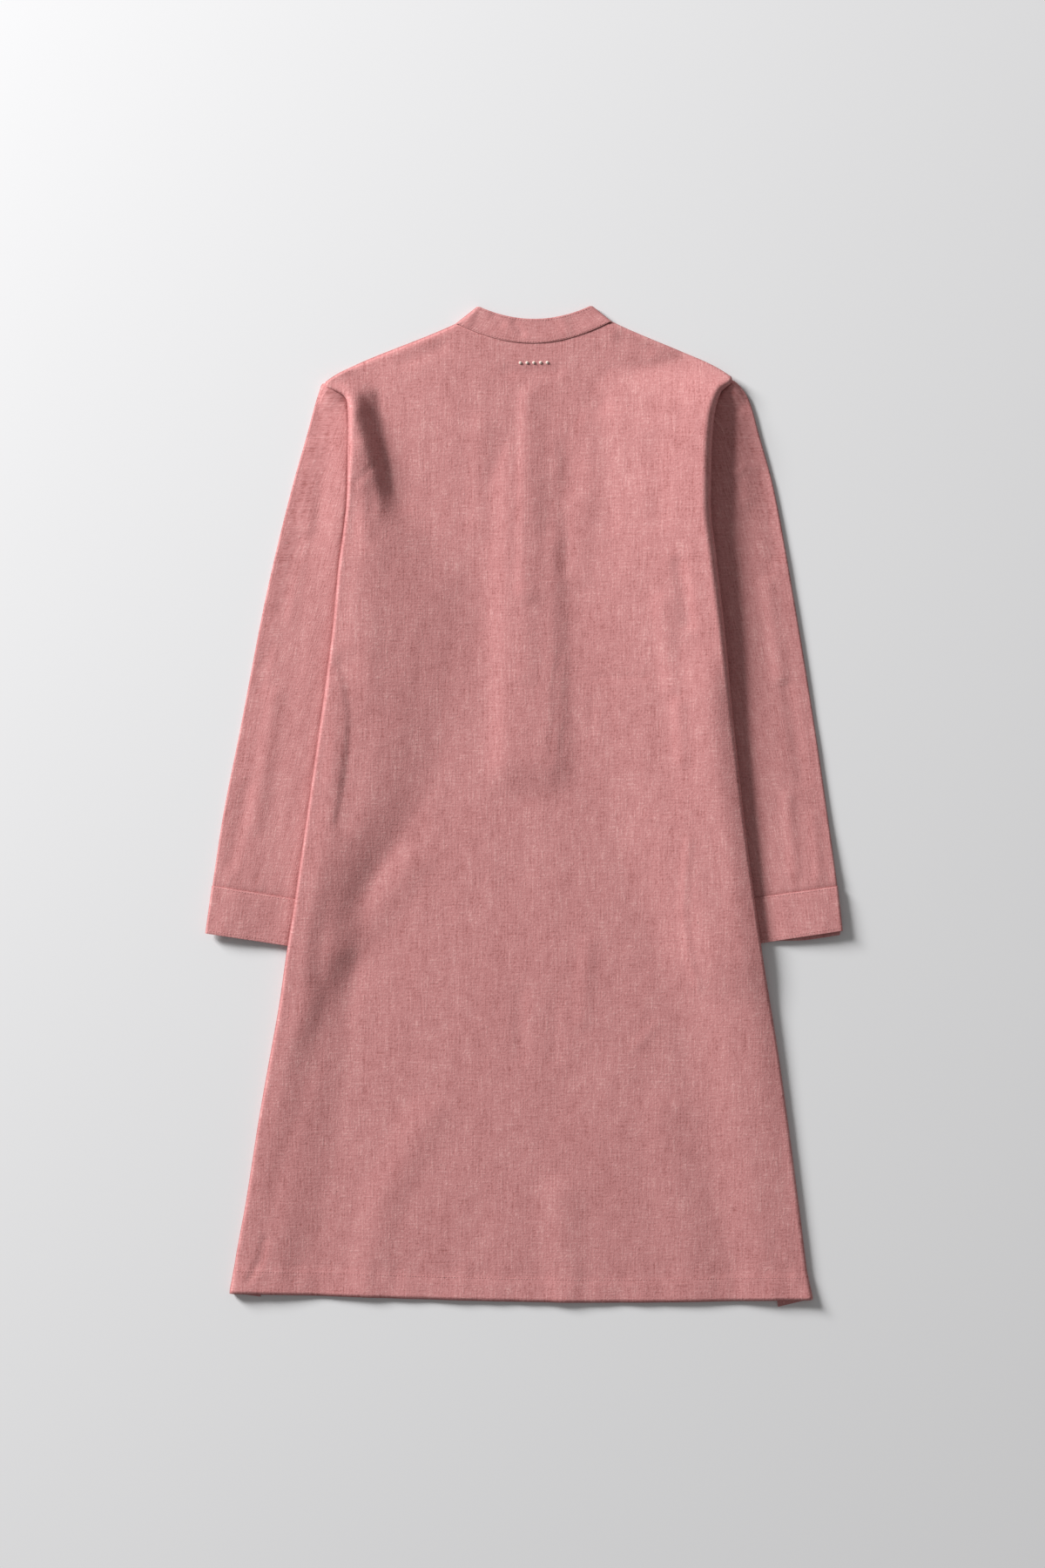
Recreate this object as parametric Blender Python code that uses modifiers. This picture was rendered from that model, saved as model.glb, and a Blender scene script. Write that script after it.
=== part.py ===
# A long cotton kurta tunic, laid face down on a flat surface: the collar points to +Y and the back is up.
# Both side edges of the body are turned under, and the sleeves lie out from beneath them.
# Metres, +Z up. The origin is on the surface, under the middle of the whole garment.
# Left and right are the wearer's: left lies towards -X.

import math
from collections import namedtuple
from functools import lru_cache

import bmesh
import bpy
from mathutils import Vector

# Cloth
wall = 0.0010  # a single layer
bandWall = 0.0016  # collar, with its interlining
cuffWall = 0.0014
layerStep = 0.0015  # from the middle of one layer to the middle of the next
lapGap = 0.0004  # air between two pieces that lap
seamGap = 0.0003  # air between two pieces that meet at a seam

# Body
hemLowest = -0.5342  # the back's hem at its lowest point
hemLowestX = 0.0900
hemReach = {"left": 0.1200, "right": 0.0800}  # the hem would level out this far past each corner
shoulderBow = {"left": 0.028, "right": 0.024}  # how far the shoulder lines bow up, most near their tips
frontHemShort = 0.0015  # the front's hem stays this far inside the back's
centreLean = 0.0134  # the middle of the garment leans to +X towards the collar
centreStart = 0.0045
backLoft = 0.0004  # air between front and back where they lie flat
raisedLoft = 0.0013  # and this much more round the neck and along the opening
turnFade = 0.0200  # the extra air is gone at a side fold and complete this far in from it
bowShape = 0.6  # below 1, the bow is strongest near the tips
fallPower = 1.6  # above 1, the right side's fall is steepest at its top
crossShare = 0.25  # two slopes that cross are rounded over this share of the lower one's height
stackSpare = 0.0020  # the stack of layers reaches this much further in than the turned-under width
settleSteps = 14  # steps that find where a row meets a side fold, each by this part of what is left
settlePart = 0.4

# Neck
neckLeft = Vector((-0.0731, 0.5208))
neckRight = Vector((0.0942, 0.5231))
backNeckDrop = 0.0190
frontNeckDrop = 0.0760
neckRise = 0.0020  # how far the collar's front half, and the opening, lift the cloth on them
neckRing = (0.1120, 0.1180)  # half width and half height of the raised place round the neck
neckRingTop = 0.5300
neckFade = 1.7  # the raised place ends at this many times its size, and its extra air at the next
neckAirFade = 1.8
collarTopLeft = Vector((-0.0490, 0.5393))
collarTopRight = Vector((0.0722, 0.5400))
collarTopDrop = 0.0140
collarLap = 0.0035
collarLean = 0.0016  # the free edge stands this much higher than the seam
collarFrontRise = 0.0160  # the front half's free edge hangs this much less than its seam
collarSide = 0.0120  # the turn at each side of the neck, as a part of its width
collarMeet = 0.0040  # each end of the front half stops this part of the width short of the middle

# Front opening
placketWidth = 0.0340
placketLength = 0.3525
placketTop = 0.4410
buttonAcross = 0.0115
buttonThick = 0.0016
buttonRim = 0.0004
buttonCount = 4
buttonPitch = 0.0850
buttonFirst = 0.0220  # from the opening's top to the first button
openingFade = 0.0500  # the cloth is back on the surface this far from the opening's middle
openingAirFade = 0.0600  # and the extra air is gone this far from it
openingSpare = 0.0040  # the top of the rise is this much wider than the opening, each way
openingFrom = 0.60  # the opening starts above this part of the way from the hem to the neck
stripSpare = 0.0010  # a strip is this much narrower than the opening
openingEnd = (-0.0850, -0.0350)  # the rise ends between these distances below the opening

# Sleeves
hiddenGap = 0.0016  # between the middles of a sleeve's two layers under the body
openGap = 0.0027  # the same where the sleeve lies free
headPuff = {"left": 0.0025, "right": 0.0050}  # the sleeve's head stands this much higher beside the shoulder tip
headReach = 0.0350
puffRise = (0.0060, 0.0160)  # it rises between these distances from the body's edge
puffEdge = 0.0100  # and is gone at the sleeve's outer edge, from this far in
freeFrom = (0.0040, 0.0300)  # the sleeve lies free of the body between these distances from its edge
cuffDepth = 0.0520
cuffEndLift = 0.0042  # the free end of each cuff curls up off the surface
liftFrom = 0.80  # from this part of the sleeve's length on
liftReach = 0.0750  # and in full this far from the body's edge
capTuck = 0.0090  # the sleeve's head reaches this much further under the body's corner
capTuckFrom = (0.70, 0.92)  # between these parts of the armhole, counted from the underarm
outerCrowd = 1.35  # above 1, a sleeve's columns lie closer together towards its outer edge
headCrowd = 1.5  # above 1, its rows lie closer together at the head
sleeveRim = 0.0022  # the outer turn of a sleeve stands out this far, and of a cuff's end the next
cuffRim = 0.0026
cuffRise = 0.12  # a cuff's length as a part of the sleeve's, where its end lifts

# One row for each height (y) of a side fold's edge. out: distance of the edge from X = 0. high: the back's top there.
# under: width turned under, measured from the edge. bank: how far the top stays level. fall: length of the fall
# from there towards the middle. foot: where the stack of turned-under layers has run out. bed: height of the
# middle of the front's turned-under layer.
Fold = namedtuple("Fold", "y out high under bank fall foot bed")
folds = {
    "left": [
        Fold(0.4540, 0.2150, 0.0112, 0.0090, 0.000, 0.020, 0.030, 0.0050),
        Fold(0.4446, 0.1945, 0.0135, 0.0100, 0.000, 0.020, 0.028, 0.0050),
        Fold(0.4380, 0.1908, 0.0155, 0.0110, 0.000, 0.022, 0.030, 0.0050),
        Fold(0.4192, 0.1898, 0.0186, 0.0140, 0.000, 0.026, 0.029, 0.0050),
        Fold(0.4042, 0.1898, 0.0190, 0.0160, 0.003, 0.025, 0.030, 0.0050),
        Fold(0.3816, 0.1900, 0.0184, 0.0200, 0.010, 0.024, 0.034, 0.0050),
        Fold(0.3500, 0.1905, 0.0152, 0.0260, 0.021, 0.020, 0.040, 0.0050),
        Fold(0.3252, 0.1916, 0.0126, 0.0320, 0.027, 0.021, 0.047, 0.0050),
        Fold(0.3080, 0.1934, 0.0118, 0.0370, 0.030, 0.030, 0.060, 0.0050),
        Fold(0.2900, 0.1956, 0.0117, 0.0420, 0.026, 0.056, 0.078, 0.0050),
        Fold(0.2640, 0.1993, 0.0124, 0.0500, 0.018, 0.090, 0.110, 0.0050),
        Fold(0.1936, 0.2060, 0.0118, 0.0600, 0.014, 0.130, 0.160, 0.0050),
        Fold(0.0996, 0.2184, 0.0118, 0.0620, 0.014, 0.130, 0.160, 0.0050),
        Fold(0.0056, 0.2318, 0.0114, 0.0500, 0.014, 0.120, 0.140, 0.0052),
        Fold(-0.1070, 0.2478, 0.0130, 0.0340, 0.012, 0.060, 0.080, 0.0064),
        Fold(-0.1560, 0.2556, 0.0122, 0.0370, 0.014, 0.054, 0.078, 0.0062),
        Fold(-0.2100, 0.2636, 0.0102, 0.0420, 0.020, 0.048, 0.078, 0.0026),
        Fold(-0.3140, 0.2822, 0.0084, 0.0400, 0.010, 0.066, 0.086, 0.0021),
        Fold(-0.4268, 0.3004, 0.0070, 0.0360, 0.000, 0.070, 0.090, 0.0021),
        Fold(-0.5020, 0.3137, 0.0058, 0.0330, 0.000, 0.060, 0.080, 0.0021),
        Fold(-0.5226, 0.3161, 0.0062, 0.0320, 0.000, 0.060, 0.080, 0.0021),
    ],
    "right": [
        Fold(0.4592, 0.2248, 0.0120, 0.0090, 0.000, 0.060, 0.060, 0.0050),
        Fold(0.4493, 0.2125, 0.0168, 0.0110, 0.000, 0.080, 0.070, 0.0050),
        Fold(0.4315, 0.2068, 0.0226, 0.0150, 0.000, 0.120, 0.080, 0.0050),
        Fold(0.4192, 0.2045, 0.0240, 0.0170, 0.000, 0.140, 0.100, 0.0050),
        Fold(0.4000, 0.2028, 0.0248, 0.0210, 0.000, 0.155, 0.120, 0.0050),
        Fold(0.3816, 0.2018, 0.0252, 0.0260, 0.000, 0.168, 0.140, 0.0050),
        Fold(0.3252, 0.2010, 0.0250, 0.0390, 0.000, 0.172, 0.150, 0.0050),
        Fold(0.2688, 0.2070, 0.0236, 0.0520, 0.000, 0.175, 0.160, 0.0050),
        Fold(0.1936, 0.2156, 0.0212, 0.0610, 0.000, 0.180, 0.165, 0.0050),
        Fold(0.0996, 0.2247, 0.0172, 0.0620, 0.000, 0.180, 0.165, 0.0050),
        Fold(0.0056, 0.2352, 0.0146, 0.0580, 0.000, 0.170, 0.160, 0.0051),
        Fold(-0.0649, 0.2437, 0.0132, 0.0540, 0.000, 0.150, 0.150, 0.0058),
        Fold(-0.1589, 0.2569, 0.0118, 0.0480, 0.000, 0.110, 0.120, 0.0062),
        Fold(-0.2200, 0.2670, 0.0080, 0.0450, 0.000, 0.100, 0.110, 0.0026),
        Fold(-0.3140, 0.2813, 0.0064, 0.0410, 0.000, 0.090, 0.100, 0.0021),
        Fold(-0.4268, 0.2963, 0.0058, 0.0380, 0.000, 0.080, 0.090, 0.0021),
        Fold(-0.5020, 0.3057, 0.0060, 0.0360, 0.000, 0.070, 0.080, 0.0021),
        Fold(-0.5302, 0.3100, 0.0066, 0.0360, 0.000, 0.070, 0.080, 0.0021),
    ],
}
underTilt = {"left": 0.13, "right": 0.24}  # the turned-under cloth slopes down towards its inner edge
tipTilt = 0.7  # at the shoulder tips the turned edge slopes down outwards by this much
tipFrom = 0.93  # from this part of the way from the hem to the shoulder on
arcFlatten = 0.8  # a side fold's half turn is this much narrower than a circle's
overGap = 0.0002  # air between the front's turned-under layer and its upper run

# One row for each height of a sleeve: distance from X = 0 of the outer edge.
Edge = namedtuple("Edge", "y out")
sleeveEdges = {
    "left": [
        Edge(0.4620, 0.2000),
        Edge(0.4585, 0.2100),
        Edge(0.4540, 0.2165),
        Edge(0.4474, 0.2204),
        Edge(0.4380, 0.2244),
        Edge(0.4004, 0.2348),
        Edge(0.3440, 0.2508),
        Edge(0.2312, 0.2780),
        Edge(0.0808, 0.3072),
        Edge(-0.0120, 0.3255),
        Edge(-0.0846, 0.3363),
        Edge(-0.1363, 0.3438),
    ],
    "right": [
        Edge(0.4650, 0.2080),
        Edge(0.4625, 0.2190),
        Edge(0.4590, 0.2272),
        Edge(0.4520, 0.2343),
        Edge(0.4380, 0.2435),
        Edge(0.4004, 0.2545),
        Edge(0.3440, 0.2700),
        Edge(0.2312, 0.2907),
        Edge(0.0808, 0.3151),
        Edge(-0.0120, 0.3285),
        Edge(-0.0850, 0.3382),
        Edge(-0.1335, 0.3438),
    ],
}
# The sleeve's inner edge, hidden under the body: underarm point, then the cuff seam's and the cuff end's corners.
Inner = namedtuple("Inner", "underarm seam end")
sleeveInners = {
    "left": Inner((0.139, 0.235), (0.2220, -0.1028), (0.2300, -0.1535)),
    "right": Inner((0.148, 0.240), (0.2240, -0.1008), (0.2320, -0.1505)),
}
lowerCuffPeek = {"left": 0.0, "right": 0.0042}  # how far a cuff's lower layer shows beyond its upper one

# Soft rises of the back alone, along a path that is read downwards, with their reach towards -X and +X
Rise = namedtuple("Rise", "path left right high")
backRises = [
    Rise(((-0.156, 0.270), (-0.164, 0.140)), 0.036, 0.060, 0.0008),
    Rise(((-0.120, -0.060), (-0.190, -0.150)), 0.028, 0.028, 0.0010),
    Rise(((-0.105, -0.333), (-0.150, -0.420), (-0.172, -0.525)), 0.030, 0.030, 0.0011),
    Rise(((0.150, -0.330), (0.190, -0.520)), 0.035, 0.035, 0.0010),
    Rise(((0.040, -0.420), (0.045, -0.530)), 0.030, 0.030, 0.0012),
]
# The right fold is a fat roll between the heights start and end: high at its crest, wide from its edge to there
Roll = namedtuple("Roll", "high wide reach start end")
roll = Roll(0.0034, 0.0220, 0.0600, (0.180, 0.115), (-0.430, -0.150))

# Heights of the grid's rows along a side fold, as parts of its length from the hem
rowSteps = [0, 0.03, 0.09, 0.16, 0.23, 0.29, 0.335, 0.375, 0.415, 0.46, 0.51, 0.57, 0.63, 0.69, 0.745,
            0.80, 0.845, 0.885, 0.92, 0.95, 0.97, 0.985, 1]
# Places of the grid's columns from the front opening's edge to the side fold, as parts of that distance
runSteps = [0.0, 0.19, 0.36, 0.49, 0.59, 0.67, 0.74, 0.80, 0.85, 0.90, 0.95, 1.0]
arcSteps = 5
underSteps = 2

colours = {
    "cloth": (0.600, 0.275, 0.272, 1.0),
    "button": (0.560, 0.300, 0.270, 1.0),
}


def smooth(low, high, value):
    part = min(1, max(0, (value - low) / (high - low)))
    return part * part * (3 - 2 * part)


def mix(a, b, part):
    return a + (b - a) * part


def read(rows, column, y):
    """A column's value at a height, on a smooth curve through the rows that never passes their values."""
    heights = [row.y for row in rows]
    values = [getattr(row, column) for row in rows]
    y = min(heights[0], max(heights[-1], y))
    place = next(i for i in range(len(rows) - 1) if y >= heights[i + 1])
    grades = [(values[i + 1] - values[i]) / (heights[i + 1] - heights[i]) for i in range(len(rows) - 1)]

    def slopeAt(i):
        if i in (0, len(rows) - 1):
            return grades[0] if i == 0 else grades[-1]
        before, after = grades[i - 1], grades[i]
        return 0 if before * after <= 0 else 2 * before * after / (before + after)

    span = heights[place + 1] - heights[place]
    t = (y - heights[place]) / span
    start, end = slopeAt(place) * span, slopeAt(place + 1) * span
    a, b = values[place], values[place + 1]
    near = (2 * t**3 - 3 * t**2 + 1) * a + (t**3 - 2 * t**2 + t) * start
    return near + (3 * t**2 - 2 * t**3) * b + (t**3 - t**2) * end


def foldAt(side, y):
    return Fold(y, *(read(folds[side], column, y) for column in Fold._fields[1:]))


def centreAt(y):
    return centreStart + centreLean * y


def topLine(x, drop):
    """The upper edge of a panel: the shoulder lines, rounded towards their tips, with the neckline between them."""
    if neckLeft.x < x < neckRight.x:
        part = (x - neckLeft.x) / (neckRight.x - neckLeft.x)
        return mix(neckLeft.y, neckRight.y, part) - 4 * drop * part * (1 - part)
    side, neck = ("left", neckLeft) if x < 0 else ("right", neckRight)
    tip = folds[side][0]
    part = min(1, abs(x - neck.x) / (tip.out - abs(neck.x)))
    return mix(neck.y, tip.y, part) + shoulderBow[side] * part**2 * (1 - part) ** bowShape


def hemLine(x):
    """The hem hangs lowest right of the middle and climbs to both corners."""
    side = "left" if x < hemLowestX else "right"
    corner = folds[side][-1]
    far = corner.out + hemReach[side]
    return mix(hemLowest, corner.y, smooth(hemLowestX, -far if side == "left" else far, x))


def openingPart(x, y, fade):
    """1 over the front opening, 0 beyond its fade."""
    across = smooth(fade, placketWidth / 2 + openingSpare, abs(x - centreAt(y)))
    return across * smooth(*openingEnd, y - (placketTop - placketLength))


def neckPart(x, y, fade):
    """1 within the ring round the neck, 0 at fade times its size."""
    across, down = neckRing
    return smooth(fade, 1.0, math.hypot((x - centreAt(neckRingTop)) / across, (y - neckRingTop) / down))


def arcRadius(fold):
    return (fold.high - wall / 2 - layerStep - fold.bed) / 2


def arcReach(fold):
    return arcFlatten * arcRadius(fold)


def arcStart(fold):
    """Distance from X = 0 at which the upper run of the front panel starts to turn under."""
    return fold.out - wall / 2 - layerStep - arcReach(fold)


def fallShape(side, part):
    """1 at the top of a side's fall, 0 at its end. The right side's is steepest at the top."""
    if side == "left":
        return smooth(1, 0, part)
    return (1 - min(1, max(0, part))) ** fallPower


def blendedMax(a, b, floor, share):
    """The higher of two heights, rounded where they cross, and exactly floor where both are."""
    width = share * (min(a, b) - floor)
    near = max(0, width - abs(a - b))
    return max(a, b) + (near * near / width / 4 if near > 0 else 0)


def riseAt(rises, x, y):
    """Sum of the soft rises at a point."""
    total = 0
    for rise in rises:
        best, reach = 1, 1
        for start, end in zip(rise.path, rise.path[1:]):
            along, offset = Vector(end) - Vector(start), Vector((x, y)) - Vector(start)
            part = min(1, max(0, offset.dot(along) / along.length_squared))
            away = (offset - along * part).length
            if away < best:
                turned = offset.cross(along) / (away * along.length) if away > 0 else 0
                best, reach = away, mix(rise.right, rise.left, (1 + turned) / 2)
        total += rise.high * smooth(reach, 0, best)
    return total


def rollHeight(y, inward):
    """How far the right side's roll lifts both panels, this far in from where the cloth starts to turn under."""
    high = roll.high * smooth(*roll.start, y) * smooth(*roll.end, y)
    if inward < roll.wide:
        return high * (1 - (1 - max(0, inward) / roll.wide) ** 2)
    return high * smooth(roll.wide + roll.reach, roll.wide, inward)


def coreHeight(x, y, side, fold):
    """Height of the middle of the front panel's upper run."""
    flat = wall / 2
    raised = flat + neckRise * max(openingPart(x, y, openingFade), neckPart(x, y, neckFade))
    start = arcStart(fold)
    inward = start - abs(x)
    crest = fold.high - wall / 2 - layerStep
    shelf = fold.bed + layerStep + overGap
    underEnd = max(0, fold.under - fold.out + start) + stackSpare
    stacked = flat + (shelf - flat) * smooth(fold.foot, underEnd, inward)
    falling = flat + (crest - flat) * fallShape(side, (inward - fold.bank) / fold.fall)
    lifted = rollHeight(y, inward) if side == "right" else 0
    return blendedMax(raised, blendedMax(stacked, falling, flat, crossShare), flat, 1) + lifted


def loft(x, y):
    """Extra air between the front and the back on the upper run."""
    height = backLoft + raisedLoft * max(openingPart(x, y, openingAirFade), neckPart(x, y, neckAirFade))
    return height + riseAt(backRises, x, y)


@lru_cache(maxsize=None)
def edgeFold(side, rowPart):
    """The side fold where a row of the grid, at this part of the way from the hem to the shoulder, meets it."""
    sign = -1 if side == "left" else 1
    y = mix(folds[side][-1].y, folds[side][0].y, rowPart)
    for _ in range(settleSteps):
        x = sign * arcStart(foldAt(side, y))
        y = mix(y, mix(hemLine(x), topLine(x, backNeckDrop), rowPart), settlePart)
    return foldAt(side, y)


def corePoint(count, side, rowPart, drop, hemShort):
    """A point of the middle of the front's cloth. count runs out from the middle, in columns or parts of one."""
    sign = -1 if side == "left" else 1
    fold = edgeFold(side, rowPart)
    radius, reach, turn = arcRadius(fold), arcReach(fold), arcStart(fold)
    runEnd = len(runSteps)

    def heightOfRow(x):
        return mix(hemLine(x) + hemShort, topLine(x, drop), rowPart)

    if count <= runEnd:
        y = fold.y
        for _ in range(3):
            middle = centreAt(y)
            edge = middle + sign * placketWidth / 2
            if count < 1:
                x = mix(middle, edge, count)
            else:
                step = min(int(count - 1), len(runSteps) - 2)
                x = mix(edge, sign * turn, mix(runSteps[step], runSteps[step + 1], count - 1 - step))
            y = heightOfRow(x)
        return Vector((x, y, coreHeight(x, y, side, fold)))
    y = heightOfRow(sign * turn)
    tilt = tipTilt * smooth(tipFrom, 1, rowPart)
    if count <= runEnd + arcSteps:
        angle = math.pi * (count - runEnd) / arcSteps
        inward = reach * (1 - math.sin(angle)) if angle > math.pi / 2 else 0
        x = turn + reach * math.sin(angle)
        y -= underTilt[side] * inward + tilt * (x - turn)
        return Vector((sign * x, y, fold.bed + radius + radius * math.cos(angle)))
    part = (count - runEnd - arcSteps) / underSteps
    end = min(fold.out - fold.under, turn - 0.001)
    x = mix(turn, end, part)
    return Vector((sign * x, y - underTilt[side] * (turn - x + reach), fold.bed))


def panelPoint(column, row, drop, hemShort, isBack):
    """A grid point of the front or the back: column counts out from the middle, negative to the left."""
    side = "left" if column < 0 else "right"
    count = abs(column)
    last = len(runSteps) + arcSteps + underSteps

    def core(atCount, atRow):
        atCount, atRow = min(last, max(0, atCount)), min(len(rowSteps) - 1, max(0, atRow))
        return corePoint(atCount, side, rowSteps[atRow], drop, hemShort)

    point = core(count, row)
    if not isBack:
        return point
    across = core(count + 1, row) - core(count - 1, row)
    up = core(count, row + 1) - core(count, row - 1)
    outward = across.cross(up).normalized()
    if side == "left":
        outward.negate()
    if count == 0:
        outward = Vector((0, 0, 1))
    offset = layerStep
    if count <= len(runSteps):
        turn = arcStart(edgeFold(side, rowSteps[row]))
        offset += loft(point.x, point.y) * smooth(0.0, turnFade, turn - abs(point.x))
    return point + outward * offset


def clear():
    for obj in list(bpy.data.objects):
        bpy.data.objects.remove(obj, do_unlink=True)


def material(name, colour, roughness):
    made = bpy.data.materials.new(name)
    made.use_nodes = True
    shader = made.node_tree.nodes["Principled BSDF"]
    shader.inputs["Base Color"].default_value = colour
    shader.inputs["Roughness"].default_value = roughness
    shader.inputs["Metallic"].default_value = 0.0
    return made


def addObject(name, mesh, look):
    obj = bpy.data.objects.new(name, mesh)
    obj.data.materials.append(look)
    bpy.data.collections["kurta"].objects.link(obj)
    return obj


def clothSheet(name, columns, rows, place, thickness, look, loop=False, keep=None):
    """A grid of columns by rows, moved onto place(column, row) and made solid about its middle."""
    mesh = bpy.data.meshes.new(name)
    bm = bmesh.new()
    bmesh.ops.create_grid(bm, x_segments=columns, y_segments=rows, size=0.5)
    where = {}
    for vert in bm.verts:
        where[vert] = (round((vert.co.x + 0.5) * columns), round((vert.co.y + 0.5) * rows))
    if keep:
        dropped = [face for face in bm.faces if not keep([where[vert] for vert in face.verts])]
        bmesh.ops.delete(bm, geom=dropped, context="FACES")
    for vert in bm.verts:
        vert.co = place(*where[vert])
    if loop:
        bmesh.ops.remove_doubles(bm, verts=bm.verts, dist=0.00001)
    bm.to_mesh(mesh)
    bm.free()
    mesh.shade_smooth()
    obj = addObject(name, mesh, look)
    solid = obj.modifiers.new("wall", "SOLIDIFY")
    solid.thickness = thickness
    solid.offset = 0
    return obj


def bodyPanel(name, drop, hemShort, isBack, look):
    """The back or the front, from one side's turned-under edge to the other's."""
    half = len(runSteps) + arcSteps + underSteps
    slotRow = next(i for i, part in enumerate(rowSteps) if part > openingFrom)

    def place(column, row):
        return panelPoint(column - half, row, drop, hemShort, isBack)

    def outsideSlot(corners):
        inSlot = all(abs(column - half) <= 1 for column, row in corners)
        return not (inSlot and all(row >= slotRow for column, row in corners))

    return clothSheet(
        name, 2 * half, len(rowSteps) - 1, place, wall, look, keep=None if isBack else outsideSlot
    )


def towardsOuter(part):
    """Sets a tube's columns closer together towards its outer edge."""
    return 1 - (1 - part) ** outerCrowd


def tubeColumn(column, across, edge):
    """Where a column of a flattened tube lies: part across, part of the half turn at an edge, and which layer."""
    if column <= across:
        return towardsOuter(column / across), 0.0, "upper"
    if column <= across + edge:
        return 1.0, (column - across) / edge, "outerTurn"
    if column <= 2 * across + edge:
        return towardsOuter(1 - (column - across - edge) / across), 0.0, "lower"
    return 0.0, (column - 2 * across - edge) / edge, "innerTurn"


def capPoint(side, part):
    """The armhole seam, from the underarm at 0 to the shoulder tip at 1, where it tucks under the body's corner."""
    low, high = sleeveInners[side].underarm[1], sleeveEdges[side][0].y
    y = mix(low, high, part)
    fold = foldAt(side, y)
    return Vector((fold.out - fold.under - capTuck * smooth(*capTuckFrom, part), y))


def sleevePlan(side, part, along):
    """A sleeve point from above. part runs from its inner edge to its outer one, along from armhole to cuff seam."""
    inner, edges = sleeveInners[side], sleeveEdges[side]
    seamInner = Vector(inner.seam)
    seamY = edges[-2].y
    seamOuter = Vector((edges[-2].out - sleeveRim, seamY))
    outerY = mix(edges[0].y, seamY, along)
    outer = Vector((read(edges, "out", outerY) - sleeveRim, outerY))
    inside = Vector(inner.underarm).lerp(seamInner, along)
    cap, seam = capPoint(side, part), seamInner.lerp(seamOuter, part)
    corners = capPoint(side, 0).lerp(capPoint(side, 1), part).lerp(seam, along)
    return cap.lerp(seam, along) + inside.lerp(outer, part) - corners


def cuffPlan(side, part, along):
    inner, edges = sleeveInners[side], sleeveEdges[side]
    inside = Vector(inner.seam).lerp(Vector(inner.end), along)
    top = Vector((edges[-2].out - sleeveRim, edges[-2].y))
    bottom = Vector((edges[-1].out - cuffRim, edges[-1].y))
    return inside.lerp(top.lerp(bottom, along), part)


def layersAt(side, plan, along, thickness):
    """Heights of the middles of a sleeve's lower and upper layers at a point, along counting 1 at the cuff seam."""
    beyond = plan.x - read(folds[side], "out", plan.y)
    free = smooth(*freeFrom, beyond)
    lift = cuffEndLift * smooth(liftFrom, 1 + cuffRise, along) * smooth(0, liftReach, beyond)
    low = thickness / 2 + lift
    tip = folds[side][0]
    puff = headPuff[side] * smooth(headReach, 0.2 * headReach, math.hypot(plan.x - tip.out, plan.y - tip.y))
    puff *= smooth(*puffRise, beyond) * smooth(0, puffEdge, read(sleeveEdges[side], "out", plan.y) - plan.x)
    return low, low + mix(hiddenGap, openGap, free) + puff + (thickness - wall)


def tubePoint(side, plan, previous, turn, layer, along, thickness):
    """A point of a flattened tube; previous is a plan point further in from the edge that it turns round."""
    low, high = layersAt(side, plan, along, thickness)
    sign = -1 if side == "left" else 1
    if layer == "upper":
        return Vector((sign * plan.x, plan.y, high))
    if layer == "lower":
        return Vector((sign * plan.x, plan.y, low))
    radius = (high - low) / 2
    angle = math.pi * (turn if layer == "outerTurn" else 1 - turn)
    outward = (plan - previous).normalized() * radius * math.sin(angle)
    return Vector((sign * (plan.x + outward.x), plan.y + outward.y, low + radius + radius * math.cos(angle)))


def sleeve(side, look):
    across, edge, rows = 7, 2, 16

    def place(column, row):
        part, turn, layer = tubeColumn(column, across, edge)
        along = (row / rows) ** headCrowd
        plan = sleevePlan(side, part, along)
        previous = sleevePlan(side, 0.1 if part == 0 else 0.9, along)
        return tubePoint(side, plan, previous, turn, layer, along, wall)

    return clothSheet(f"sleeve_{side}", 2 * (across + edge), rows, place, wall, look, loop=True)


def cuff(side, look):
    across, edge, rows = 7, 2, 3
    start = (seamGap + 0.0002) / cuffDepth

    def place(column, row):
        part, turn, layer = tubeColumn(column, across, edge)
        along = mix(start, 1, row / rows)
        plan = cuffPlan(side, part, along)
        previous = cuffPlan(side, 0.1 if part == 0 else 0.9, along)
        point = tubePoint(side, plan, previous, turn, layer, 1 + along * cuffRise, cuffWall)
        if layer == "lower":
            point.y -= lowerCuffPeek[side] * smooth(0.3, 0.7, part) * along
        return point

    return clothSheet(f"cuff_{side}", 2 * (across + edge), rows, place, cuffWall, look, loop=True)


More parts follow.
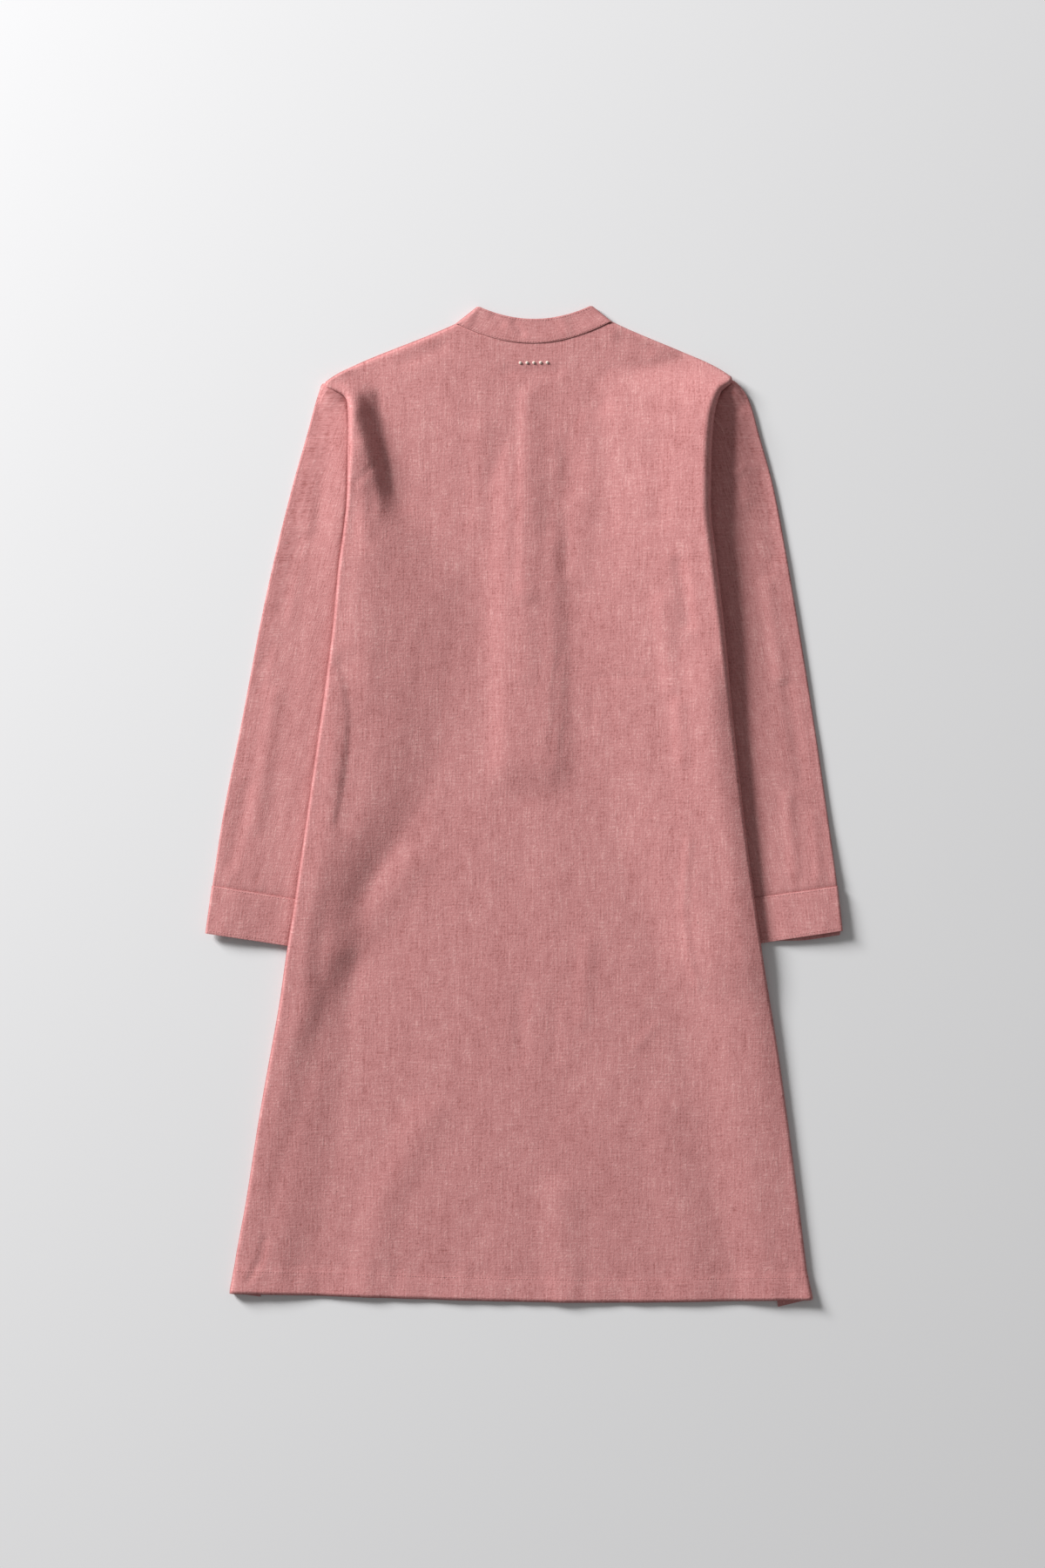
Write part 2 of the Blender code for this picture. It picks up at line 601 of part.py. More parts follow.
def collar(look):
    """A standing band round the neck, flattened: its back half lies on the back panel, its front half under it."""
    front, turnSteps, back = 6, 3, 14
    rows = 2
    frontLevel = bandWall / 2
    backLevel = wall + neckRise + layerStep + backLoft + raisedLoft + lapGap + bandWall / 2
    radius = (backLevel - frontLevel) / 2
    half = front + turnSteps + back / 2

    def seamEdge(part, drop, lap):
        point = neckLeft.lerp(neckRight, part)
        return Vector((point.x, point.y - 4 * drop * part * (1 - part) - lap * math.sin(math.pi * part)))

    def freeEdge(part, drop):
        point = collarTopLeft.lerp(collarTopRight, part)
        return Vector((point.x, point.y - 4 * drop * part * (1 - part)))

    def place(column, row):
        up = row / rows
        sign = -1 if column < half else 1
        count = column if sign < 0 else 2 * half - column
        lean = collarLean * up
        if count <= front:
            part = mix(0.5 - collarMeet, collarSide, count / front)
            part = part if sign < 0 else 1 - part
            seam = seamEdge(part, frontNeckDrop, collarLap)
            free = freeEdge(part, frontNeckDrop - collarFrontRise)
            level = frontLevel
        elif count < front + turnSteps:
            part = collarSide if sign < 0 else 1 - collarSide
            seam, free = seamEdge(part, backNeckDrop, 0), freeEdge(part, collarTopDrop)
            angle = math.pi * (count - front) / turnSteps
            out = Vector((sign * radius * math.sin(angle), 0))
            plan = seam.lerp(free, up) + out
            return Vector((plan.x, plan.y, frontLevel + (radius + lean / 2) * (1 - math.cos(angle))))
        else:
            part = mix(collarSide, 0.5, (count - front - turnSteps) / (back / 2))
            part = part if sign < 0 else 1 - part
            seam, free = seamEdge(part, backNeckDrop, collarLap), freeEdge(part, collarTopDrop)
            level = backLevel + lean
        plan = seam.lerp(free, up)
        return Vector((plan.x, plan.y, level))

    columns = 2 * (front + turnSteps) + back
    return clothSheet("collar", columns, rows, place, bandWall, look)


def placketStrip(name, level, look):
    """One of the two strips that close the front opening, flat and as wide as the opening."""
    mesh = bpy.data.meshes.new(name)
    bm = bmesh.new()
    bmesh.ops.create_cube(bm, size=1)
    size = Vector((placketWidth - stripSpare, placketLength, wall))
    bmesh.ops.scale(bm, vec=size, verts=bm.verts)
    bm.to_mesh(mesh)
    bm.free()
    obj = addObject(name, mesh, look)
    middle = placketTop - placketLength / 2
    obj.location = (centreAt(middle), middle, level)
    obj.rotation_euler.z = -math.atan(centreLean)
    return obj


def button(number, look):
    """A flat round button with a softened rim."""
    name = f"button_{number}"
    mesh = bpy.data.meshes.new(name)
    bm = bmesh.new()
    radius = buttonAcross / 2
    bmesh.ops.create_cone(bm, segments=24, radius1=radius, radius2=radius, depth=buttonThick, cap_ends=True)
    bm.to_mesh(mesh)
    bm.free()
    obj = addObject(name, mesh, look)
    y = placketTop - buttonFirst - buttonPitch * (number - 1)
    obj.location = (centreAt(y), y, buttonThick / 2)
    bevel = obj.modifiers.new("rim", "BEVEL")
    bevel.width = buttonRim
    bevel.segments = 2
    return obj


def build():
    clear()
    bpy.context.scene.collection.children.link(bpy.data.collections.new("kurta"))
    cloth = {}
    for name in ("back", "front", "sleeve", "cuff", "collar", "placket"):
        cloth[name] = material(name, colours["cloth"], 0.92)
    plastic = material("button", colours["button"], 0.45)

    bodyPanel("back", backNeckDrop, 0, True, cloth["back"])
    bodyPanel("front", frontNeckDrop, frontHemShort, False, cloth["front"])
    for side in ("left", "right"):
        sleeve(side, cloth["sleeve"])
        cuff(side, cloth["cuff"])
    collar(cloth["collar"])
    overLevel = wall / 2 + neckRise
    placketStrip("placket_over", overLevel, cloth["placket"])
    placketStrip("placket_under", overLevel + wall + lapGap, cloth["placket"])
    for number in range(1, buttonCount + 1):
        button(number, plastic)


build()
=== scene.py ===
# Looks of a cotton kurta tunic that lies face down: cloth panels with soft folds, creases, hems and stitches.
# Metres, +Z up, collar to +Y. Left and right are the wearer's, and left is -X.

import math
from collections import namedtuple
from functools import lru_cache

import bmesh
import bpy
from mathutils import Matrix, Vector, noise


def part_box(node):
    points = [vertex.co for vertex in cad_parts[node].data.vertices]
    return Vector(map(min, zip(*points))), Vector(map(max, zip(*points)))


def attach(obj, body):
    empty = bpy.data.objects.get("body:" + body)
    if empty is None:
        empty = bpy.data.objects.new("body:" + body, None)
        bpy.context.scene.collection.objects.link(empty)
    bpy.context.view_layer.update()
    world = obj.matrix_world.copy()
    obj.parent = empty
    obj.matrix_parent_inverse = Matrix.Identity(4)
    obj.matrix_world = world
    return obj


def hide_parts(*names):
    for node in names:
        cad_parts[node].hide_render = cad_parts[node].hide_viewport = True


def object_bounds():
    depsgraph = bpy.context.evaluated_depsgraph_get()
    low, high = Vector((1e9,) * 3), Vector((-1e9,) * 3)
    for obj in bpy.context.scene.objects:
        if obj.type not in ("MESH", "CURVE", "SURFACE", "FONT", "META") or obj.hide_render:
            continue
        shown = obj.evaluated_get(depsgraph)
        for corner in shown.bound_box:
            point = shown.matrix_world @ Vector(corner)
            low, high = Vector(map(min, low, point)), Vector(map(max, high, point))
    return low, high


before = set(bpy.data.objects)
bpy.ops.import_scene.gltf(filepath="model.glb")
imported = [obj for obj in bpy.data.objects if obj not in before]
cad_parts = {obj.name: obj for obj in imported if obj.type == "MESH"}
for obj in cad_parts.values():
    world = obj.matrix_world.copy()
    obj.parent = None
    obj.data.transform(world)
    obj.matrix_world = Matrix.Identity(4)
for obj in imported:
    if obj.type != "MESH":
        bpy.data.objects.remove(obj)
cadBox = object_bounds()

# ---- the form, the same one that the solids have ----

cloth = {
    "wall": 0.0006,  # thickness that shows
    "solidWall": 0.0010,
    "layerStep": 0.0015,  # from the middle of one layer to the middle of the next
    "loft": 0.0004,  # extra air between front and back
    "raisedLoft": 0.0013,  # and this much more round the neck and along the opening
    "arcFlatten": 0.8,  # a side fold's half turn is this much narrower than a circle's
    "underGap": 0.0002,  # extra air between the front's turned-under layer and its upper run
    "stackSpare": 0.0020,  # the stack of layers reaches this much further in than the turned-under width
    "crossShare": 0.25,  # slopes that cross are rounded over this share of the lower one's height
    "fallPower": 1.6,  # above 1, the right side's fall is steepest at its top
}

neck = {
    "left": Vector((-0.0731, 0.5208)),
    "right": Vector((0.0942, 0.5231)),
    "backDrop": 0.0190,
    "frontDrop": 0.0760,
    "rise": 0.0020,  # how far the collar's front half lifts the cloth on it
    "bow": {"left": 0.028, "right": 0.024},  # how far the shoulder lines bow up, most near their tips
    "bowPower": 0.6,
    "ring": (0.112, 0.118),  # half width and half height of the raised place round the neck
    "ringMiddle": 0.530,
    "fade": 1.7,  # the raised place ends at this many times its size, and its extra air at the next
    "airFade": 1.8,
}

placket = {
    "width": 0.0340,
    "length": 0.3525,
    "top": 0.4410,
    "spare": 0.004,  # the cloth's rise over it is this much wider each way, and the front's slot longer
    "fade": 0.050,  # the cloth is back down this far from its middle, and the extra air gone at the next
    "airFade": 0.060,
    "end": (-0.085, -0.035),  # the rise ends between these distances below it
}

hem = {
    "lowest": -0.5342,
    "lowestX": 0.0900,
    "reach": (0.1200, 0.0800),  # it would level out this far past its left and its right corner
    "frontShort": 0.0015,
    "turn": 0.0260,
    "thick": 0.0006,
}

lean = {"slope": 0.0134, "start": 0.0045}  # the middle line leans to +X towards the collar

# A side fold at one height. out: distance of the edge from X = 0. high: top of the back there. under: width
# turned under. bank: how far the top stays level. fall: length of the fall from there inwards. foot: where
# the stack of turned-under layers has run out. bed: middle of the front's turned-under layer.
Fold = namedtuple("Fold", "y out high under bank fall foot bed")
folds = {
    "left": [
        Fold(0.4540, 0.2150, 0.0112, 0.0090, 0.000, 0.020, 0.030, 0.0050),
        Fold(0.4446, 0.1945, 0.0135, 0.0100, 0.000, 0.020, 0.028, 0.0050),
        Fold(0.4380, 0.1908, 0.0155, 0.0110, 0.000, 0.022, 0.030, 0.0050),
        Fold(0.4192, 0.1898, 0.0186, 0.0140, 0.000, 0.026, 0.029, 0.0050),
        Fold(0.4042, 0.1898, 0.0190, 0.0160, 0.003, 0.025, 0.030, 0.0050),
        Fold(0.3816, 0.1900, 0.0184, 0.0200, 0.010, 0.024, 0.034, 0.0050),
        Fold(0.3500, 0.1905, 0.0152, 0.0260, 0.021, 0.020, 0.040, 0.0050),
        Fold(0.3252, 0.1916, 0.0126, 0.0320, 0.027, 0.021, 0.047, 0.0050),
        Fold(0.3080, 0.1934, 0.0118, 0.0370, 0.030, 0.030, 0.060, 0.0050),
        Fold(0.2900, 0.1956, 0.0117, 0.0420, 0.026, 0.056, 0.078, 0.0050),
        Fold(0.2640, 0.1993, 0.0124, 0.0500, 0.018, 0.090, 0.110, 0.0050),
        Fold(0.1936, 0.2060, 0.0118, 0.0600, 0.014, 0.130, 0.160, 0.0050),
        Fold(0.0996, 0.2184, 0.0118, 0.0620, 0.014, 0.130, 0.160, 0.0050),
        Fold(0.0056, 0.2318, 0.0114, 0.0500, 0.014, 0.120, 0.140, 0.0052),
        Fold(-0.1070, 0.2478, 0.0130, 0.0340, 0.012, 0.060, 0.080, 0.0064),
        Fold(-0.1560, 0.2556, 0.0122, 0.0370, 0.014, 0.054, 0.078, 0.0062),
        Fold(-0.2100, 0.2636, 0.0102, 0.0420, 0.020, 0.048, 0.078, 0.0026),
        Fold(-0.3140, 0.2822, 0.0084, 0.0400, 0.010, 0.066, 0.086, 0.0021),
        Fold(-0.4268, 0.3004, 0.0070, 0.0360, 0.000, 0.070, 0.090, 0.0021),
        Fold(-0.5020, 0.3137, 0.0058, 0.0330, 0.000, 0.060, 0.080, 0.0021),
        Fold(-0.5226, 0.3161, 0.0062, 0.0320, 0.000, 0.060, 0.080, 0.0021),
    ],
    "right": [
        Fold(0.4592, 0.2248, 0.0120, 0.0090, 0.000, 0.060, 0.060, 0.0050),
        Fold(0.4493, 0.2125, 0.0168, 0.0110, 0.000, 0.080, 0.070, 0.0050),
        Fold(0.4315, 0.2068, 0.0226, 0.0150, 0.000, 0.120, 0.080, 0.0050),
        Fold(0.4192, 0.2045, 0.0240, 0.0170, 0.000, 0.140, 0.100, 0.0050),
        Fold(0.4000, 0.2028, 0.0248, 0.0210, 0.000, 0.155, 0.120, 0.0050),
        Fold(0.3816, 0.2018, 0.0252, 0.0260, 0.000, 0.168, 0.140, 0.0050),
        Fold(0.3252, 0.2010, 0.0250, 0.0390, 0.000, 0.172, 0.150, 0.0050),
        Fold(0.2688, 0.2070, 0.0236, 0.0520, 0.000, 0.175, 0.160, 0.0050),
        Fold(0.1936, 0.2156, 0.0212, 0.0610, 0.000, 0.180, 0.165, 0.0050),
        Fold(0.0996, 0.2247, 0.0172, 0.0620, 0.000, 0.180, 0.165, 0.0050),
        Fold(0.0056, 0.2352, 0.0146, 0.0580, 0.000, 0.170, 0.160, 0.0051),
        Fold(-0.0649, 0.2437, 0.0132, 0.0540, 0.000, 0.150, 0.150, 0.0058),
        Fold(-0.1589, 0.2569, 0.0118, 0.0480, 0.000, 0.110, 0.120, 0.0062),
        Fold(-0.2200, 0.2670, 0.0080, 0.0450, 0.000, 0.100, 0.110, 0.0026),
        Fold(-0.3140, 0.2813, 0.0064, 0.0410, 0.000, 0.090, 0.100, 0.0021),
        Fold(-0.4268, 0.2963, 0.0058, 0.0380, 0.000, 0.080, 0.090, 0.0021),
        Fold(-0.5020, 0.3057, 0.0060, 0.0360, 0.000, 0.070, 0.080, 0.0021),
        Fold(-0.5302, 0.3100, 0.0066, 0.0360, 0.000, 0.070, 0.080, 0.0021),
    ],
}
underTilt = {"left": 0.13, "right": 0.24}  # the turned-under cloth slopes down towards its inner edge
tipTilt = 0.7  # at the shoulder tips the turned edge slopes down outwards by this much
tipFrom = 0.93  # from this part of the way from the hem to the shoulder on

# A soft rise, or a trough where rise is negative, along a path that is read downwards. It reaches out by left
# towards -X and by right towards +X. The broad ones lift only the back.
Mark = namedtuple("Mark", "path left right rise")


def mark(rise, reach, *path, right=None):
    # A mark that reaches as far both ways, unless right is given
    return Mark(path, reach, right or reach, rise)


broadRises = [
    mark(0.0008, 0.036, (-0.156, 0.27), (-0.164, 0.14), right=0.06),
    mark(0.001, 0.028, (-0.12, -0.06), (-0.19, -0.15)),
    mark(0.0011, 0.03, (-0.105, -0.333), (-0.15, -0.42), (-0.172, -0.525)),
    mark(0.001, 0.035, (0.15, -0.33), (0.19, -0.52)),
    mark(0.0012, 0.03, (0.04, -0.42), (0.045, -0.53)),
]

# The right fold is a fat roll between the heights start and end, wide from its edge to its crest
roll = {"high": 0.0034, "wide": 0.0220, "reach": 0.0600, "start": (0.180, 0.115), "end": (-0.430, -0.150)}


def smooth(low, high, value):
    part = min(1, max(0, (value - low) / (high - low)))
    return part * part * (3 - 2 * part)


def mix(a, b, part):
    return a + (b - a) * part


def uneven(rows, x, y):
    # Soft noise summed over rows of (across, along, seed, height), the first two in turns in a metre
    total = 0
    for across, along, seed, high in rows:
        total += high * noise.noise(Vector((x * across, y * along, seed)))
    return total


def read(rows, column, y):
    # A column's value at a height, on a smooth curve through the rows that never passes their values
    heights = [row.y for row in rows]
    values = [getattr(row, column) for row in rows]
    y = min(heights[0], max(heights[-1], y))
    place = next(i for i in range(len(rows) - 1) if y >= heights[i + 1])
    grades = [(values[i + 1] - values[i]) / (heights[i + 1] - heights[i]) for i in range(len(rows) - 1)]

    def slopeAt(i):
        if i in (0, len(rows) - 1):
            return grades[0] if i == 0 else grades[-1]
        before, after = grades[i - 1], grades[i]
        return 0 if before * after <= 0 else 2 * before * after / (before + after)

    span = heights[place + 1] - heights[place]
    t = (y - heights[place]) / span
    start, end = slopeAt(place) * span, slopeAt(place + 1) * span
    a, b = values[place], values[place + 1]
    near = (2 * t**3 - 3 * t**2 + 1) * a + (t**3 - 2 * t**2 + t) * start
    return near + (3 * t**2 - 2 * t**3) * b + (t**3 - t**2) * end


@lru_cache(maxsize=None)
def foldAt(side, y):
    return Fold(y, *(read(folds[side], column, y) for column in Fold._fields[1:]))


def centreAt(y):
    return lean["start"] + lean["slope"] * y


def topLine(x, drop):
    # The upper edge of a panel: the shoulder lines, rounded at their tips, with the neckline between them
    left, right = neck["left"], neck["right"]
    if left.x < x < right.x:
        part = (x - left.x) / (right.x - left.x)
        return mix(left.y, right.y, part) - 4 * drop * part * (1 - part)
    side, start = ("left", left) if x < 0 else ("right", right)
    tip = folds[side][0]
    part = min(1, abs(x - start.x) / (tip.out - abs(start.x)))
    return mix(start.y, tip.y, part) + neck["bow"][side] * part**2 * (1 - part) ** neck["bowPower"]


def hemLine(x):
    left, right = folds["left"][-1], folds["right"][-1]
    low, (leftReach, rightReach) = hem["lowestX"], hem["reach"]
    if x < low:
        return mix(hem["lowest"], left.y, smooth(low, -left.out - leftReach, x))
    return mix(hem["lowest"], right.y, smooth(low, right.out + rightReach, x))


def arcRadius(fold):
    return (fold.high - cloth["solidWall"] / 2 - cloth["layerStep"] - fold.bed) / 2


def arcReach(fold):
    return cloth["arcFlatten"] * arcRadius(fold)


def arcStart(fold):
    return fold.out - cloth["solidWall"] / 2 - cloth["layerStep"] - arcReach(fold)


def openingPart(x, y, fade):
    # 1 over the front opening, 0 beyond its fade
    across = smooth(fade, placket["width"] / 2 + placket["spare"], abs(x - centreAt(y)))
    return across * smooth(*placket["end"], y - (placket["top"] - placket["length"]))


def neckPart(x, y, fade):
    # 1 within the ring round the neck, 0 at fade times its size
    (across, along), middle = neck["ring"], neck["ringMiddle"]
    return smooth(fade, 1.0, math.hypot((x - centreAt(middle)) / across, (y - middle) / along))


def fallShape(side, part):
    # 1 at the top of a side's fall, 0 at its end. The right side's is steepest at the top
    if side == "left":
        return smooth(1, 0, part)
    return (1 - min(1, max(0, part))) ** cloth["fallPower"]


def blendedMax(a, b, floor, share):
    # The higher of two heights, rounded where they cross, and exactly floor where both are
    width = share * (min(a, b) - floor)
    near = max(0, width - abs(a - b))
    return max(a, b) + (near * near / width / 4 if near else 0)


def rollHeight(y, inward):
    # How far the right side's roll lifts both panels, this far in from where the cloth starts to turn under
    high = roll["high"] * smooth(*roll["start"], y) * smooth(*roll["end"], y)
    if inward < roll["wide"]:
        return high * (1 - (1 - max(0, inward) / roll["wide"]) ** 2)
    return high * smooth(roll["wide"] + roll["reach"], roll["wide"], inward)


def coreHeight(x, y, side, fold):
    # Height of the middle of the front panel's upper run
    flat = cloth["solidWall"] / 2
    raised = flat + neck["rise"] * max(openingPart(x, y, placket["fade"]), neckPart(x, y, neck["fade"]))
    start = arcStart(fold)
    inward = start - abs(x)
    crest = fold.high - cloth["solidWall"] / 2 - cloth["layerStep"]
    shelf = fold.bed + cloth["layerStep"] + cloth["underGap"]
    underEnd = max(0, fold.under - fold.out + start) + cloth["stackSpare"]
    stacked = flat + (shelf - flat) * smooth(fold.foot, underEnd, inward)
    falling = flat + (crest - flat) * fallShape(side, (inward - fold.bank) / fold.fall)
    lifted = rollHeight(y, inward) if side == "right" else 0
    rolled = blendedMax(stacked, falling, flat, cloth["crossShare"])
    return blendedMax(raised, rolled, flat, 1) + lifted


def markHeight(marks, x, y):
    # The sum of the marks at a point
    total = 0
    for mark in marks:
        widest = max(mark.left, mark.right)
        if not mark.path[-1][1] - widest < y < mark.path[0][1] + widest:
            continue
        best, reach = 1, 1
        for (x0, y0), (x1, y1) in zip(mark.path, mark.path[1:]):
            alongX, alongY = x1 - x0, y1 - y0
            offX, offY = x - x0, y - y0
            span = alongX**2 + alongY**2
            held = min(1, max(0, (offX * alongX + offY * alongY) / span))
            away = math.hypot(offX - alongX * held, offY - alongY * held)
            if away < best:
                turned = (offX * alongY - offY * alongX) / (away * math.sqrt(span)) if away > 0 else 0
                best, reach = away, mix(mark.right, mark.left, (1 + turned) / 2)
        total += mark.rise * smooth(reach, 0, best)
    return total


def loft(x, y):
    # Extra air between the front and the back on the upper run
    raised = max(openingPart(x, y, placket["airFade"]), neckPart(x, y, neck["airFade"]))
    return cloth["loft"] + cloth["raisedLoft"] * raised + markHeight(broadRises, x, y)


# ---- bmesh help ----

weld = 0.00001  # points closer than this are one
roundSteps = 3
rimAngle = 60  # a cut edge is rounded where its faces meet at more than this


def addObject(name, data):
    obj = bpy.data.objects.new(name, data)
    bpy.context.scene.collection.objects.link(obj)
    return obj


def newPiece(name, bm):
    mesh = bpy.data.meshes.new(name)
    bm.to_mesh(mesh)
    bm.free()
    mesh.shade_smooth()
    return addObject(name, mesh)


def gridPiece(name, columns, rows, place, loop=False, keep=None):
    # A grid moved onto place(column, row), which gives a point and its place on the flat cloth, in metres
    bm = bmesh.new()
    bmesh.ops.create_grid(bm, x_segments=columns, y_segments=rows, size=0.5)
    flat = bm.loops.layers.uv.new("cloth")
    where = {}
    for vert in bm.verts:
        where[vert] = (round((vert.co.x + 0.5) * columns), round((vert.co.y + 0.5) * rows))
    if keep:
        dropped = [face for face in bm.faces if not keep([where[vert] for vert in face.verts])]
        bmesh.ops.delete(bm, geom=dropped, context="FACES")
    placed = {vert: place(*where[vert]) for vert in bm.verts}
    for face in bm.faces:
        for loopCorner in face.loops:
            loopCorner[flat].uv = placed[loopCorner.vert][1]
    for vert, (point, uv) in placed.items():
        vert.co = point
    if loop:
        bmesh.ops.remove_doubles(bm, verts=bm.verts, dist=weld)
    bmesh.ops.recalc_face_normals(bm, faces=bm.faces)
    return newPiece(name, bm)


def roundEdges(obj, width, angle):
    rim = obj.modifiers.new("rim", "BEVEL")
    rim.width = width
    rim.segments = roundSteps
    rim.limit_method = "ANGLE"
    rim.angle_limit = math.radians(angle)


def thicken(obj, thickness, bevel=0):
    wall = obj.modifiers.new("wall", "SOLIDIFY")
    wall.thickness = thickness
    wall.offset = 0
    if bevel:
        roundEdges(obj, bevel, rimAngle)


def topOf(obj, x, y, above=0.2):
    # The point and normal of a piece's upper surface at (x, y), or None beside it
    hit, point, normal, _ = obj.ray_cast(Vector((x, y, above)), Vector((0, 0, -1)))
    return (point, normal) if hit else None


# ---- shader help ----


class Socket:
    # Wraps a node's output, so that sums on it become Math nodes
    def __init__(self, graph, output):
        self.graph, self.output = graph, output

    def math(self, operation, *others):
        return self.graph.math(operation, self, *others)

    def __add__(self, other):
        return self.math("ADD", other)

    def __sub__(self, other):
        return self.math("SUBTRACT", other)

    def __mul__(self, other):
        return self.math("MULTIPLY", other)

    def __rsub__(self, other):
        return self.graph.math("SUBTRACT", other, self)


class Graph:
    # A material's nodes. node() adds any node: its settings first, then the values or links of its sockets
    def __init__(self, name):
        self.material = bpy.data.materials.new(name)
        self.material.use_nodes = True
        self.tree = self.material.node_tree
        self.shader = self.tree.nodes["Principled BSDF"]

    def feed(self, socket, value):
        if isinstance(value, Socket):
            self.tree.links.new(value.output, socket)
        else:
            socket.default_value = value

    def node(self, kind, settings=None, inputs=None, output=0):
        made = self.tree.nodes.new(kind)
        for key, value in (settings or {}).items():
            setattr(made, key, value)
        for key, value in (inputs or {}).items():
            self.feed(made.inputs[key], value)
        return Socket(self, made.outputs[output])

    def finish(self, values):
        for key, value in values.items():
            self.feed(self.shader.inputs[key], value)
        return self.material

    def math(self, operation, *values):
        return self.node("ShaderNodeMath", {"operation": operation}, dict(enumerate(values)))

    def stretched(self, vector, scale):
        return self.node("ShaderNodeVectorMath", {"operation": "MULTIPLY"}, {0: vector, 1: scale})

    def noise(self, vector, detail=2.0, rough=0.5):
        values = {"Vector": vector, "Scale": 1.0, "Detail": detail, "Roughness": rough}
        return self.node("ShaderNodeTexNoise", {"noise_dimensions": "3D"}, values)

    def step(self, value, low, high):
        # 0 below low, 1 above high, smooth between
        values = {"Value": value, "From Min": low, "From Max": high}
        return self.node("ShaderNodeMapRange", {"interpolation_type": "SMOOTHSTEP"}, values)

    def blend(self, factor, a, b, how="MIX"):
        settings = {"data_type": "RGBA", "blend_type": how}
        return self.node("ShaderNodeMix", settings, {0: factor, 6: a, 7: b}, output=2)


fabric = {
    "colour": (0.600, 0.260, 0.257, 1),
    "light": (0.760, 0.400, 0.385, 1),
    "dark": (0.430, 0.158, 0.153, 1),
    "fleck": (0.200, 0.085, 0.080, 1),
    "nub": (0.800, 0.560, 0.520, 1),
    "toneReach": 0.42,  # the colour is all light, or all dark, this far from an even tone
    "nubSize": (0.020, 0.050),  # in cells: solid out to the first, gone at the second
    "nubShare": 0.35,
    "fleckSize": (0.010, 0.022),
    "fleckShare": 0.7,
    "paintedEdgeShade": (0.58, 0.52, 0.52, 1),  # painted shade: the colour is darker on steep edges that face the key light, so their lit sides don't glow
    # the key light's direction across the floor, which the painted shade is measured against
    "keyLightSide": (-0.8, 0.6, 0),
    "paintedShadeFrom": (0.35, 0.85),
    "roughness": 0.92,
    "sheen": 0.02,
    "sheenRoughness": 0.5,
    "specular": 0.15,
    "bump": 0.35,
    "bumpDepth": 0.0006,
}
# across and along: turns in a metre each way. share: how much it counts
Weave = namedtuple("Weave", "across along share detail rough")
weave = {
    "weft": Weave(55, 620, 0.8, 2.0, 0.6),
    "warp": Weave(560, 45, 1.0, 2.0, 0.6),
    "grain": Weave(430, 390, 1.9, 3.0, 0.75),
    "longWarp": Weave(300, 9, 0.26, 1.0, 0.5),
    "cloud": Weave(14, 9, 0.34, 3.0, 0.5),
    "patch": Weave(90, 55, 0.46, 2.0, 0.5),
}
threadShare = 0.72  # how much of the tone the weft, the warp and the grain give
spots = {"nub": (44, 62, 1), "fleck": (23, 17, 1)}  # cells in a metre each way


def clothMaterial(name):
    # Slubbed plain weave: uneven threads both ways, a cloudy dye, pale nubs, a few dark flecks, and painted
    # shade on steep edges that face the key light
    g = Graph(name)
    flat = g.node("ShaderNodeUVMap", {"uv_map": "cloth"})

    def pattern(kind):
        made = weave[kind]
        turned = g.stretched(flat, (made.across, made.along, 1))
        return (g.noise(turned, made.detail, made.rough) - 0.5) * made.share

    def spotted(kind, colour):
        values = {"Vector": g.stretched(flat, spots[kind]), "Scale": 1.0}
        cells = g.node("ShaderNodeTexVoronoi", {"feature": "F1"}, values)
        inside = 1 - g.step(cells, *fabric[f"{kind}Size"])
        return g.blend(inside * fabric[f"{kind}Share"], colour, fabric[kind])

    threads = pattern("weft") + pattern("warp") + pattern("grain")
    tone = threads * threadShare + pattern("longWarp") + pattern("cloud") + pattern("patch")
    reach = fabric["toneReach"]
    colour = g.blend(g.step(tone, 0.0, reach), fabric["colour"], fabric["light"])
    colour = g.blend(g.step(tone * -1, 0.0, reach), colour, fabric["dark"])
    colour = spotted("fleck", spotted("nub", colour))
    # painted shade: faces turned steeply towards the key light get a darker colour
    sides = {0: g.node("ShaderNodeNewGeometry", output=1), 1: fabric["keyLightSide"]}
    facing = g.node("ShaderNodeVectorMath", {"operation": "DOT_PRODUCT"}, sides, output=1)
    colour = g.blend(g.step(facing, *fabric["paintedShadeFrom"]), colour, fabric["paintedEdgeShade"], "MULTIPLY")
    relief = {"Height": threads, "Strength": fabric["bump"], "Distance": fabric["bumpDepth"]}
    return g.finish({
        "Base Color": colour,
        "Roughness": fabric["roughness"],
        "Sheen Weight": fabric["sheen"],
        "Sheen Roughness": fabric["sheenRoughness"],
        "Specular IOR Level": fabric["specular"],
        "Normal": g.node("ShaderNodeBump", None, relief),
    })


threadLook = {
    "stitch": (0.66, 0.33, 0.32, 1),
    "knot": (0.86, 0.74, 0.66, 1),
    "shade": 0.8,  # the hollows between its strands
    "strands": (1500, 1500, 1500),
    "roughness": 0.7,
}


def threadMaterial(name, colour):
    g = Graph(name)
    place = g.node("ShaderNodeTexCoord", output=3)
    twist = g.noise(g.stretched(place, threadLook["strands"]), 1.0)
    shaded = tuple(part * threadLook["shade"] for part in colour[:3]) + (1,)
    return g.finish({"Base Color": g.blend(twist, colour, shaded), "Roughness": threadLook["roughness"]})


buttonLook = {
    "dark": (0.56, 0.30, 0.27, 1),
    "pale": (0.66, 0.40, 0.36, 1),
    "swirls": (260, 260, 90),
    "roughness": 0.32,
    "swirlRoughness": 0.15,
}


def buttonMaterial(name):
    g = Graph(name)
    place = g.node("ShaderNodeTexCoord", output=3)
    swirl = g.noise(g.stretched(place, buttonLook["swirls"]), 3.0)
    colour = g.blend(swirl, buttonLook["dark"], buttonLook["pale"])
    roughness = swirl * buttonLook["swirlRoughness"] + buttonLook["roughness"]
    return g.finish({"Base Color": colour, "Roughness": roughness})


